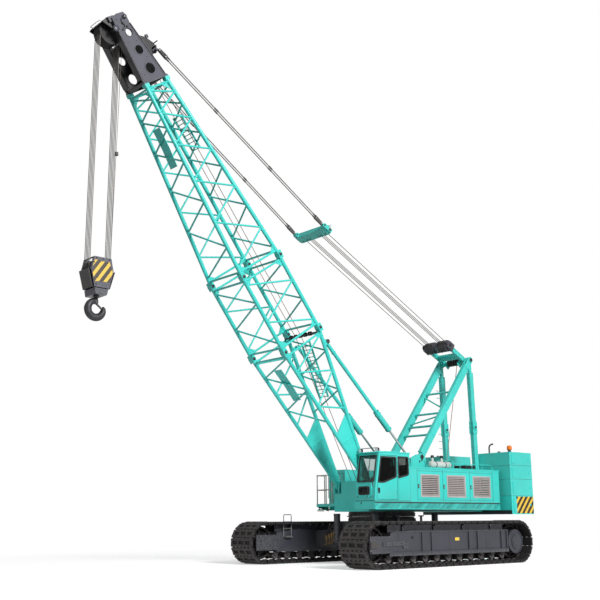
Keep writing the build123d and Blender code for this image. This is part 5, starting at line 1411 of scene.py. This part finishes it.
# ---- floor, light, camera ----------------------------------------------------------------
def floor_material():
    """Pale near the crane, evenly white far off; its glow is only seen, and lights nothing."""
    n = Nodes("pale_floor")
    path = n.make("LightPath", {}).node.outputs
    seen = n.math("MAXIMUM", path["Is Glossy Ray"], path["Is Transmission Ray"])
    seen = n.math("MAXIMUM", path["Is Camera Ray"], seen)
    away = n.make("VectorMath", {0: n.place}, "Value", operation="LENGTH")
    far = n.step(n.math("DIVIDE", away, 40), 0.25, 0.5)
    n.put(n.shader, {"Emission Strength": n.times(seen, n.plus(0.36, n.times(far, 0.64)))})
    glow = {"Emission_Color": (1, 1, 1, 1), "Specular_IOR_Level": 0}
    return n.finish(n.mix(far, srgb(226, 226, 226), (0, 0, 0, 1)), 0.95, **glow)


FLOOR_HALF = 400
floor_mesh = bpy.data.meshes.new("floor")
corners = [(-FLOOR_HALF, -FLOOR_HALF, 0), (FLOOR_HALF, -FLOOR_HALF, 0), (FLOOR_HALF, FLOOR_HALF, 0),
           (-FLOOR_HALF, FLOOR_HALF, 0)]
floor_mesh.from_pydata(corners, [], [(0, 1, 2, 3)])
floor_mesh.materials.append(floor_material())
floor = bpy.data.objects.new("floor", floor_mesh)
bpy.context.scene.collection.objects.link(floor)


def white_world(lighting, shown):
    """White, with one strength as a light and another where it is seen."""
    world = bpy.data.worlds.new("studio")
    bpy.context.scene.world = world
    world.use_nodes = True
    tree = world.node_tree
    background = tree.nodes["Background"]
    paths = tree.nodes.new("ShaderNodeLightPath")
    seen = tree.nodes.new("ShaderNodeMath")
    seen.operation = "MAXIMUM"
    tree.links.new(paths.outputs["Is Camera Ray"], seen.inputs[0])
    tree.links.new(paths.outputs["Is Transmission Ray"], seen.inputs[1])
    level = tree.nodes.new("ShaderNodeMix")
    tree.links.new(seen.outputs[0], level.inputs[0])
    level.inputs[2].default_value, level.inputs[3].default_value = lighting, shown
    tree.links.new(level.outputs[0], background.inputs["Strength"])
    background.inputs["Color"].default_value = (1, 1, 1, 1)


def area(name, place, target, size, watts):
    light = bpy.data.lights.new(name, "AREA")
    light.size, light.energy = size, watts
    holder = bpy.data.objects.new(name, light)
    bpy.context.scene.collection.objects.link(holder)
    holder.location = place
    holder.rotation_mode = "QUATERNION"
    holder.rotation_quaternion = (Vector(target) - Vector(place)).to_track_quat("-Z", "Y")


white_world(0.42, 1.0)
area("key", (6, 40, 26), (2, 0, 6), 13, 23000)
area("fill", (40, 6, 20), (2, 0, 6), 16, 1300)
area("back", (-30, -26, 26), (0, 0, 6), 14, 1800)

CAMERA_PLACE = Vector((25.834, 25.378, 1.572))
CAMERA_YAW, CAMERA_PITCH, CAMERA_ROLL = radians(-130.771), radians(13.035), radians(-0.321)
LENS_MM, SENSOR_MM, FAR_CLIP = 56.89, 36, 500
level_way = Vector((cos(CAMERA_YAW), sin(CAMERA_YAW), 0))
forward = level_way * cos(CAMERA_PITCH) + Vector((0, 0, sin(CAMERA_PITCH)))
right = Vector((sin(CAMERA_YAW), -cos(CAMERA_YAW), 0))
upward = right.cross(forward)
tilt_right = right * cos(CAMERA_ROLL) + upward * sin(CAMERA_ROLL)
tilt_up = upward * cos(CAMERA_ROLL) - right * sin(CAMERA_ROLL)
lens = bpy.data.cameras.new("camera")
lens.lens, lens.sensor_width, lens.clip_end = LENS_MM, SENSOR_MM, FAR_CLIP
camera = bpy.data.objects.new("camera", lens)
bpy.context.scene.collection.objects.link(camera)
camera.matrix_world = Matrix((tilt_right, tilt_up, -forward)).transposed().to_4x4()
camera.location = CAMERA_PLACE
bpy.context.scene.camera = camera
bpy.context.scene.view_settings.view_transform = "Standard"
